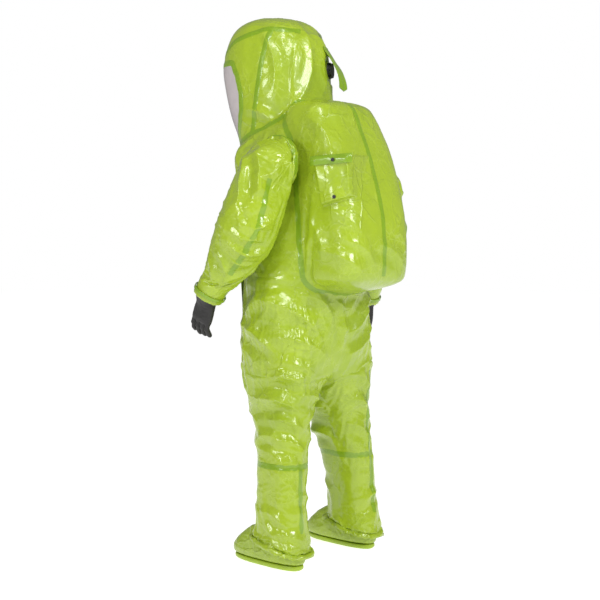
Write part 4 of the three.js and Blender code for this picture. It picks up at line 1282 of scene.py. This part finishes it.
def pocket_lid():
    downs, shares = np.linspace(-0.001, 0.030, 14), np.linspace(-0.005, 1.005, 44)
    places = [[(pocket_point(u, 1.0)[0], pocket_point(u, 1.0)[1] - v) for u in shares] for v in downs]
    levels = np.zeros((len(downs), len(shares)))
    for k, row in enumerate(places):
        for j, (right, high) in enumerate(row):
            levels[k, j] = level_on(pocket_tree, right, high)
    levels = np.maximum(levels, np.median(levels) - 0.004)
    levels = even_out(spread(levels, 2), 8) + 0.0024 + 0.0008 * np.sin(shares * 17)[None, :]
    rows = [[tuple(off_pocket(right, high, float(levels[k, j]))) for j, (right, high) in enumerate(row)]
            for k, row in enumerate(places)]
    lid = face_towards(sheet_grid("pocket_lid_cloth", rows), POCKET_OUT)
    thicken(lid, 0.0012, 1.0)
    return lid


lid = pocket_lid()
use(lid, "tape", "pocket_lid", "valve_pocket_flap")


def stud(name, right, high, lift):
    bpy.ops.mesh.primitive_cylinder_add(vertices=32, radius=0.0062, depth=0.0034)
    piece = bpy.context.object
    piece.name = name
    bpy.ops.object.mode_set(mode="EDIT")
    bpy.ops.mesh.select_all(action="SELECT")
    bpy.ops.mesh.bevel(offset=0.0009, segments=3, affect="EDGES")
    bpy.ops.object.mode_set(mode="OBJECT")
    hit = pocket_tree.ray_cast(off_pocket(right, high, 0.3), -POCKET_OUT, 0.6)[0]
    return set_in(piece, hit + POCKET_OUT * lift, POCKET_RIGHT, Vector((0, 0, 1)), POCKET_OUT)


use(stud("lid_snap", 0.01, 0.056, 0.0072), "black_plastic", "pocket_lid", "pocket_snap")
use(stud("pocket_corner_snap", 0.016, -0.066, 0.0016), "black_plastic", "suit")

# %% [markdown]
# ## Feet, hands and cuffs
# The sock boots are the suit's own sheet, pulled over the foot, under the splash cuffs. The outer gloves are thick
# black rubber, clamped on a rigid ring inside each cuff.

# %% Sock boots, soles, gloves and cuffs
def remade(node, name, voxel, rounds):
    """A solid of the model as a skin of its own: merged, remeshed and relaxed."""
    piece = copy_of(nodes[node], name)
    piece.parent = None
    make_active(piece)
    bpy.ops.object.mode_set(mode="EDIT")
    bpy.ops.mesh.select_all(action="SELECT")
    bpy.ops.mesh.remove_doubles(threshold=0.0001)
    bpy.ops.object.mode_set(mode="OBJECT")
    remesh(piece, voxel)
    set_coords(piece, relax(coords(piece), edges_of(piece), 0.6, rounds))
    return piece


def boot_rings(side):
    x = side * STANCE
    return [
        ring(-204, 110, 19, 46, x, power=2.7), ring(-210, 116, 40, 52, x, power=2.6),
        ring(-198, 116, 66, 51, x, power=2.4), ring(-150, 113, 94, 48, x, tilt=-6),
        ring(-90, 105, 124, 46, x, tilt=-10), ring(-60, 97, 165, 47, x, tilt=-4),
        ring(-52, 92, 240, 50, x - side * 6), ring(-52, 94, 330, 56, x - side * 14),
    ]


def make_glove(name):
    """Palm, four curled fingers and a thumb as forms of their own, then one rubber skin over them."""
    hand_way = (0.0, -0.36, -0.93)
    palm = [
        arm_ring(name, along(WRIST, LOWER_WAY, -0.034), LOWER_WAY, 0.047, 0.047, 2),
        arm_ring(name, along(WRIST, LOWER_WAY, -0.002), LOWER_WAY, 0.047, 0.047, 2),
        arm_ring(name, along(WRIST, hand_way, 0.022), hand_way, 0.039, 0.030),
        arm_ring(name, along(WRIST, hand_way, 0.044), hand_way, 0.043, 0.022, 2.4),
        arm_ring(name, along(WRIST, hand_way, 0.078), hand_way, 0.046, 0.018, 2.5),
        arm_ring(name, along(WRIST, hand_way, 0.093), hand_way, 0.043, 0.013, 2.5),
    ]
    forms = [loft(name + "_palm", palm)]
    for k in (-1.5, -0.5, 0.5, 1.5):
        base = along(along(WRIST, hand_way, 0.072), (0, 0.93, -0.36), k * 0.0215)
        length = 0.060 - 0.005 * abs(k + 0.3)
        spread = k * 0.055
        way = Vector((0.0, -0.36 + 0.93 * spread, -0.93 - 0.36 * spread)).normalized()
        bent = Vector((-0.42 - 0.06 * k, -0.22 + 0.8 * spread, -0.86)).normalized()
        tip_way = Vector((-0.66, -0.14 + 0.6 * spread, -0.72)).normalized()
        first = along(base, way, 0.018 + length * 0.30)
        second = along(first, bent, length * 0.38)
        tip = along(second, tip_way, length * 0.34)
        forms.append(loft(name + "_finger", [
            arm_ring(name, base, tuple(way), 0.0098, 0.0108, 2),
            arm_ring(name, first, tuple(bent), 0.0102, 0.0104, 2),
            arm_ring(name, along(first, bent, length * 0.18), tuple(bent), 0.0093, 0.0093, 2),
            arm_ring(name, second, tuple(tip_way), 0.0096, 0.0097, 2),
            arm_ring(name, along(tip, tip_way, -0.005), tuple(tip_way), 0.0088, 0.0085, 2),
            arm_ring(name, tip, tuple(tip_way), 0.0062, 0.0058, 2),
            arm_ring(name, along(tip, tip_way, 0.0028), tuple(tip_way), 0.0025, 0.0022, 2)]))
    thumb_way = Vector((-0.30, -0.72, -0.62)).normalized()
    thumb = along(along(WRIST, hand_way, 0.032), (0, -0.93, 0.36), 0.020)
    sizes = [(0.0, 0.0145), (0.018, 0.0140), (0.034, 0.0118), (0.048, 0.0112), (0.058, 0.0086), (0.064, 0.004)]
    forms.append(loft(name + "_thumb", [arm_ring(name, along(thumb, thumb_way, d), tuple(thumb_way), r, r, 2)
                                        for d, r in sizes]))
    glove = remesh(join(forms, name + "_glove"), 0.0020)
    set_coords(glove, relax(coords(glove), edges_of(glove), 0.6, 5))
    points, out = coords(glove), normals(glove)
    line = np.array(arm_place(name, WRIST))
    down = (points - line) @ np.array(arm_aim(name, hand_way))
    flat = np.stack([(points - line) @ np.array(arm_aim(name, (0, 0.93, -0.36))), down], axis=1)
    fold = 0.0013 * creases(flat, 95, 0.020, (10, -14, 30)) * smoothstep(0.0, 0.02, down)
    fold += 0.0009 * np.cos((down + 0.03) * 2 * math.pi / 0.0085) * (1 - smoothstep(-0.006, 0.004, down))
    set_coords(glove, points + out * fold[:, None])
    return glove


for name, side in SIDE.items():
    boot = remesh(loft(name + "_sock_boot_sheet", boot_rings(side)), 0.006)
    set_coords(boot, relax(coords(boot), edges_of(boot), 0.5, 4))
    subdivide(boot)
    points, out = coords(boot), normals(boot)
    flat = round_body(points, side * STANCE * MM, SHIFT_Y, 0.09)
    above = smoothstep(0.024, 0.05, points[:, 2])
    fold = 0.0035 * creases(flat, 80 + side, 0.045, (30, -30, 8)) + 0.0010 * creases(flat, 82, 0.018)
    set_coords(boot, points + out * (fold * above)[:, None])
    use(boot, "lime", "suit", name + "_sock_boot")
    sole = remade(name + "_boot_sole", name + "_sole_sheet", 0.003, 4)
    make_active(sole)
    middle = np.mean([coords(sole).min(axis=0), coords(sole).max(axis=0)], axis=0)
    bpy.ops.object.mode_set(mode="EDIT")
    bpy.ops.mesh.select_all(action="SELECT")
    bpy.ops.transform.resize(value=(0.93, 0.97, 1.0), center_override=tuple(middle))
    bpy.ops.object.mode_set(mode="OBJECT")
    use(sole, "sole", "suit", name + "_boot_sole")
    glove = make_glove(name)
    use(glove, "glove", name + "_hand", name + "_outer_glove")


def clamp_ring(name, middle, axis, radius, wall, width):
    """An open cylinder given its wall, its edges rounded, then turned to lie across the arm."""
    bpy.ops.mesh.primitive_cylinder_add(vertices=72, radius=radius, depth=width, end_fill_type="NOTHING")
    ring_piece = bpy.context.object
    ring_piece.name = name
    thick = ring_piece.modifiers.new("wall", "SOLIDIFY")
    thick.thickness, thick.offset = wall, -1
    bpy.ops.object.modifier_apply(modifier="wall")
    edge = ring_piece.modifiers.new("edges", "BEVEL")
    edge.width, edge.segments, edge.limit_method = 0.0006, 2, "ANGLE"
    bpy.ops.object.modifier_apply(modifier="edges")
    ring_piece.rotation_euler = axis.to_track_quat("Z", "Y").to_euler()
    ring_piece.location = middle
    bpy.ops.object.transform_apply(location=True, rotation=True, scale=True)
    return ring_piece


for name in SIDE:
    axis = arm_aim(name, LOWER_WAY).normalized()
    middle = Vector(arm_place(name, along(WRIST, LOWER_WAY, -0.018)))
    clamp = clamp_ring(name + "_clamp", middle, axis, 0.0589, 0.0024, 0.011)
    use(clamp, "tape", name + "_forearm", name + "_clamp_band")
belt = copy_of(nodes["waist_belt"], "waist_belt_webbing")
belt.parent = None
make_active(belt)
bpy.ops.object.mode_set(mode="EDIT")
bpy.ops.mesh.select_all(action="SELECT")
bpy.ops.mesh.remove_doubles(threshold=0.00005)
bpy.ops.transform.resize(value=(0.90, 0.97, 1.0), center_override=(0, 0.0259, 1.04))
bpy.ops.object.mode_set(mode="OBJECT")
use(belt, "woven", "suit", "waist_belt")
print("boots, gloves and cuffs done")

# %% [markdown]
# ## Surfaces
# The sheet is a lime film on fabric: glossy, a little cloudy in its gloss, with sharp fine creases wherever it has been
# folded, and slightly darker and duller where it was handled. Along its crease lines the colour is painted paler, a
# painted highlight on the crests. Tapes are the same film, welded, in a deeper green.

# %% Shared surface effects
def node_group(name, inputs, outputs):
    group = bpy.data.node_groups.new(name, "ShaderNodeTree")
    for label, value in inputs:
        socket = group.interface.new_socket(label, in_out="INPUT", socket_type="NodeSocketFloat")
        socket.default_value = value
    for label in outputs:
        group.interface.new_socket(label, in_out="OUTPUT", socket_type="NodeSocketFloat")
    return group, group.nodes.new("NodeGroupInput"), group.nodes.new("NodeGroupOutput")


def add_node(tree, kind, inputs=None, **settings):
    node = tree.nodes.new(kind)
    for key, value in settings.items():
        setattr(node, key, value)
    for key, value in (inputs or {}).items():
        if isinstance(value, bpy.types.NodeSocket):
            tree.links.new(value, node.inputs[key])
        else:
            node.inputs[key].default_value = value
    return node


def maths(tree, operation, a, b=0.0, c=0.0):
    return add_node(tree, "ShaderNodeMath", {0: a, 1: b, 2: c}, operation=operation).outputs[0]


def remap(tree, value, low, high, new_low=0.0, new_high=1.0):
    limits = {"Value": value, "From Min": low, "From Max": high, "To Min": new_low, "To Max": new_high}
    return add_node(tree, "ShaderNodeMapRange", limits, interpolation_type="SMOOTHSTEP").outputs["Result"]


def crease_group():
    """Fine sharp creases at two sizes, only in patches, and a faint grain."""
    group, given, result = node_group("film_creases", [("Scale", 1.0), ("Depth", 1.0)], ["Height", "Crease", "Patch"])
    place = group.nodes.new("ShaderNodeTexCoord").outputs["Object"]
    wander = add_node(group, "ShaderNodeTexNoise", {"Vector": place, "Scale": 9.0, "Detail": 2.0})
    moved = add_node(group, "ShaderNodeVectorMath", {0: wander.outputs["Color"], 1: (0.09, 0.09, 0.09)},
                     operation="MULTIPLY")
    bent = add_node(group, "ShaderNodeVectorMath", {0: place, 1: moved.outputs[0]}, operation="ADD").outputs[0]
    heights = []
    for scale, sharp, tall in ((13.0, 0.09, 1.0), (34.0, 0.14, 0.30), (90.0, 0.2, 0.07)):
        size = maths(group, "MULTIPLY", given.outputs["Scale"], scale)
        cells = add_node(group, "ShaderNodeTexVoronoi", {"Vector": bent, "Scale": size}, feature="DISTANCE_TO_EDGE")
        line = remap(group, cells.outputs["Distance"], 0.0, sharp, 1.0, 0.0)
        colour = add_node(group, "ShaderNodeTexVoronoi", {"Vector": bent, "Scale": size}, feature="F1")
        lift = add_node(group, "ShaderNodeSeparateColor", {0: colour.outputs["Color"]}).outputs["Red"]
        facet = maths(group, "MULTIPLY", maths(group, "SUBTRACT", colour.outputs["Distance"], 0.3), lift)
        patch = add_node(group, "ShaderNodeTexNoise", {"Vector": place, "Scale": scale * 0.28, "Detail": 1.0})
        here = remap(group, patch.outputs["Fac"], 0.42, 0.62)
        both = maths(group, "ADD", maths(group, "MULTIPLY", line, 0.7), facet)
        heights.append((maths(group, "MULTIPLY", maths(group, "MULTIPLY", both, here), tall), line, here))
    grain = add_node(group, "ShaderNodeTexNoise", {"Vector": place, "Scale": 620.0, "Detail": 1.0}).outputs["Fac"]
    total = maths(group, "ADD", maths(group, "ADD", heights[0][0], heights[1][0]), heights[2][0])
    total = maths(group, "ADD", total, maths(group, "MULTIPLY", grain, 0.03))
    group.links.new(maths(group, "MULTIPLY", total, given.outputs["Depth"]), result.inputs["Height"])
    # painted highlight: this line mask marks the middle creases, where the film's colour is painted paler as glints on
    # the crests
    group.links.new(maths(group, "MULTIPLY", heights[1][1], heights[1][2]), result.inputs["Crease"])
    group.links.new(heights[0][2], result.inputs["Patch"])
    return group


def handling_group():
    """Clouds of duller, slightly dusty film, stronger towards the floor."""
    group, given, result = node_group("handling", [("Amount", 1.0)], ["Dull", "Dust"])
    place = group.nodes.new("ShaderNodeTexCoord").outputs["Object"]
    cloud = add_node(group, "ShaderNodeTexNoise",
                     {"Vector": place, "Scale": 5.0, "Detail": 5.0, "Roughness": 0.65}).outputs["Fac"]
    fleck = add_node(group, "ShaderNodeTexNoise", {"Vector": place, "Scale": 70.0, "Detail": 3.0}).outputs["Fac"]
    height = add_node(group, "ShaderNodeSeparateXYZ", {0: place}).outputs["Z"]
    low = remap(group, height, 0.0, 0.25, 1.0, 0.15)
    dull = maths(group, "MULTIPLY", remap(group, cloud, 0.35, 0.7), given.outputs["Amount"])
    dust = maths(group, "MULTIPLY", maths(group, "MULTIPLY", remap(group, fleck, 0.5, 0.75), low),
                 given.outputs["Amount"])
    group.links.new(dull, result.inputs["Dull"])
    group.links.new(dust, result.inputs["Dust"])
    return group


def weave_group():
    """Two crossing sets of threads."""
    group, given, result = node_group("weave", [("Threads", 900.0)], ["Height", "Shade"])
    place = add_node(group, "ShaderNodeSeparateXYZ", {0: group.nodes.new("ShaderNodeTexCoord").outputs["Object"]})
    flat = maths(group, "ADD", place.outputs["X"], place.outputs["Y"])
    one = maths(group, "SINE", maths(group, "MULTIPLY", flat, given.outputs["Threads"]))
    two = maths(group, "SINE", maths(group, "MULTIPLY", place.outputs["Z"], given.outputs["Threads"]))
    cross = maths(group, "MULTIPLY", one, two)
    group.links.new(maths(group, "ABSOLUTE", cross), result.inputs["Height"])
    group.links.new(remap(group, cross, -1.0, 1.0), result.inputs["Shade"])
    return group


CREASES, HANDLING, WEAVE = crease_group(), handling_group(), weave_group()


def blank(name):
    material = bpy.data.materials.new(name)
    material.use_nodes = True
    return material, material.node_tree, material.node_tree.nodes["Principled BSDF"]


def group_node(tree, group, inputs=None):
    node = add_node(tree, "ShaderNodeGroup", node_tree=group)
    for key, value in (inputs or {}).items():
        node.inputs[key].default_value = value
    return node


def mix_colour(tree, share, a, b):
    node = add_node(tree, "ShaderNodeMix", data_type="RGBA")
    for index, value in ((0, share), (6, a), (7, b)):
        if isinstance(value, bpy.types.NodeSocket):
            tree.links.new(value, node.inputs[index])
        else:
            node.inputs[index].default_value = value
    return node.outputs[2]


def film(name, base, deep, glint, rough, depth, scale=1.0, coat=0.35):
    material, tree, shader = blank(name)
    folds = group_node(tree, CREASES, {"Scale": scale, "Depth": 1.0})
    wear = group_node(tree, HANDLING, {"Amount": 1.0})
    colour = mix_colour(tree, maths(tree, "MULTIPLY", wear.outputs["Dull"], 0.55), (*base, 1), (*deep, 1))
    # painted highlight: the crease lines are mixed towards the paler colour, as glints of light on the crests
    colour = mix_colour(tree, maths(tree, "MULTIPLY", folds.outputs["Crease"], 0.30), colour, (*glint, 1))
    colour = mix_colour(tree, maths(tree, "MULTIPLY", wear.outputs["Dust"], 0.10), colour, (0.55, 0.55, 0.45, 1))
    tree.links.new(colour, shader.inputs["Base Color"])
    gloss = maths(tree, "ADD", maths(tree, "MULTIPLY", wear.outputs["Dull"], 0.16), rough)
    gloss = maths(tree, "ADD", gloss, maths(tree, "MULTIPLY", wear.outputs["Dust"], 0.15))
    tree.links.new(gloss, shader.inputs["Roughness"])
    bump = add_node(tree, "ShaderNodeBump", {"Height": folds.outputs["Height"], "Strength": 1.0, "Distance": depth})
    tree.links.new(bump.outputs[0], shader.inputs["Normal"])
    shader.inputs["Coat Weight"].default_value = coat
    shader.inputs["Coat Roughness"].default_value = 0.10
    shader.inputs["IOR"].default_value = 1.47
    return material


def plain(name, base, rough, metal=0.0, grain=300.0, depth=0.0003, variation=0.25):
    material, tree, shader = blank(name)
    place = tree.nodes.new("ShaderNodeTexCoord").outputs["Object"]
    fine = add_node(tree, "ShaderNodeTexNoise", {"Vector": place, "Scale": grain, "Detail": 3.0}).outputs["Fac"]
    slow = add_node(tree, "ShaderNodeTexNoise", {"Vector": place, "Scale": 30.0, "Detail": 3.0}).outputs["Fac"]
    darker = tuple(c * (1 - variation) for c in base)
    tree.links.new(mix_colour(tree, slow, (*base, 1), (*darker, 1)), shader.inputs["Base Color"])
    tree.links.new(remap(tree, slow, 0.3, 0.7, rough, min(rough + 0.15, 1.0)), shader.inputs["Roughness"])
    bump = add_node(tree, "ShaderNodeBump", {"Height": fine, "Strength": 0.6, "Distance": depth})
    tree.links.new(bump.outputs[0], shader.inputs["Normal"])
    shader.inputs["Metallic"].default_value = metal
    return material


def woven(name, base, threads):
    material, tree, shader = blank(name)
    cloth = group_node(tree, WEAVE, {"Threads": threads})
    wear = group_node(tree, HANDLING, {"Amount": 0.8})
    lighter = tuple(min(c * 1.7 + 0.01, 1) for c in base)
    colour = mix_colour(tree, cloth.outputs["Shade"], (*base, 1), (*lighter, 1))
    tree.links.new(mix_colour(tree, maths(tree, "MULTIPLY", wear.outputs["Dust"], 0.3), colour, (0.3, 0.3, 0.28, 1)),
                   shader.inputs["Base Color"])
    shader.inputs["Roughness"].default_value = 0.8
    bump = add_node(tree, "ShaderNodeBump", {"Height": cloth.outputs["Height"], "Strength": 0.7, "Distance": 0.0004})
    tree.links.new(bump.outputs[0], shader.inputs["Normal"])
    return material


def clear_sheet():
    material, tree, shader = blank("lens")
    wear = group_node(tree, HANDLING, {"Amount": 1.0})
    tree.links.new(mix_colour(tree, wear.outputs["Dull"], (0.62, 0.56, 0.56, 1), (0.54, 0.49, 0.50, 1)),
                   shader.inputs["Base Color"])
    tree.links.new(remap(tree, wear.outputs["Dull"], 0.0, 1.0, 0.07, 0.16), shader.inputs["Roughness"])
    shader.inputs["Alpha"].default_value = 0.80
    shader.inputs["Coat Weight"].default_value = 0.5
    material.surface_render_method = "BLENDED"
    return material


# %% Materials on their pieces
# the third colour of each film is a painted highlight, laid on its crease lines
LIME, DEEP, CREASE_GLINT = (0.335, 0.455, 0.020), (0.245, 0.360, 0.010), (0.43, 0.56, 0.065)
MATERIALS = {
    "lime": film("lime", LIME, DEEP, CREASE_GLINT, 0.20, 0.0022),
    "tape": film("tape", (0.205, 0.345, 0.010), (0.150, 0.270, 0.006), (0.28, 0.43, 0.03), 0.22, 0.0006, 1.6),
    "sole": film("sole", (0.360, 0.500, 0.020), (0.270, 0.400, 0.012), (0.45, 0.56, 0.08), 0.34, 0.0005, 3.0, 0.1),
    "lens": clear_sheet(),
    "glove": plain("glove", (0.016, 0.0145, 0.014), 0.50, grain=420.0, depth=0.0006, variation=0.35),
    "liner": plain("liner", (0.66, 0.67, 0.61), 0.35),
    "valve_rubber": plain("valve_rubber", (0.32, 0.32, 0.30), 0.6),
    "black_plastic": plain("black_plastic", (0.016, 0.016, 0.017), 0.42, grain=500.0),
    "metal": plain("metal", (0.50, 0.50, 0.51), 0.26, metal=1.0, grain=900.0, depth=0.0001, variation=0.15),
    "woven": woven("woven", (0.030, 0.033, 0.036), 2600.0),
    "loops": woven("loops", (0.020, 0.021, 0.022), 1500.0),
}
NODE_MATERIAL = {
    "waist_belt": "woven", "hood_valve_disc": "valve_rubber", "bulge_valve_disc": "valve_rubber",
    "left_glove_liner": "liner", "right_glove_liner": "liner",
}
for name, kind in MATERIAL_OF.items():
    piece = bpy.data.objects[name]
    piece.data.materials.clear()
    piece.data.materials.append(MATERIALS[kind])
for name, node in nodes.items():
    kind = NODE_MATERIAL.get(name, "black_plastic")
    node.data.materials.clear()
    node.data.materials.append(MATERIALS[kind])
print(len(MATERIALS), "materials on", len(MATERIAL_OF), "pieces")

# %% [markdown]
# ## Floor and light
# A white studio: a plain pale floor, a large soft light behind the camera's right shoulder, a smaller one on its left
# and a narrow strip high up, which draws the long bright lines on the glossy folds.

# %% Floor, lights and finish
def add_floor():
    bpy.ops.mesh.primitive_plane_add(size=40, location=(0, 0, 0))
    floor = bpy.context.object
    floor.name = "studio_floor"
    material, tree, shader = blank("floor")
    shader.inputs["Base Color"].default_value = (0.62, 0.62, 0.62, 1)
    shader.inputs["Roughness"].default_value = 0.7
    shader.inputs["Emission Color"].default_value = (1, 1, 1, 1)
    shader.inputs["Emission Strength"].default_value = 0.84
    floor.data.materials.append(material)
    return floor


def add_light(name, place, aim, size, energy, long=None):
    data = bpy.data.lights.new(name, "AREA")
    data.energy = energy
    data.size = size
    if long:
        data.shape = "RECTANGLE"
        data.size_y = long
    light = bpy.data.objects.new(name, data)
    bpy.context.scene.collection.objects.link(light)
    light.location = place
    light.rotation_euler = (Vector(aim) - Vector(place)).to_track_quat("-Z", "Y").to_euler()


def add_world():
    world = bpy.data.worlds.new("studio")
    bpy.context.scene.world = world
    world.use_nodes = True
    tree = world.node_tree
    tree.nodes.clear()
    light = add_node(tree, "ShaderNodeBackground", {"Color": (1, 1, 1, 1), "Strength": 0.26})
    seen = add_node(tree, "ShaderNodeBackground", {"Color": (1, 1, 1, 1), "Strength": 1.0})
    path = tree.nodes.new("ShaderNodeLightPath")
    both = add_node(tree, "ShaderNodeMixShader",
                    {0: path.outputs["Is Camera Ray"], 1: light.outputs[0], 2: seen.outputs[0]})
    out = tree.nodes.new("ShaderNodeOutputWorld")
    tree.links.new(both.outputs[0], out.inputs["Surface"])


bpy.context.scene.view_settings.view_transform = "Standard"
floor = add_floor()
add_light("key", (0.2, 4.4, 3.3), (0, 0.1, 1.1), 1.3, 124)
add_light("left_fill", (4.6, -0.2, 2.3), (0, 0, 1.0), 1.0, 52)
add_light("high_strip", (2.4, 1.6, 4.2), (0, 0, 1.2), 0.35, 60, long=2.4)
add_world()
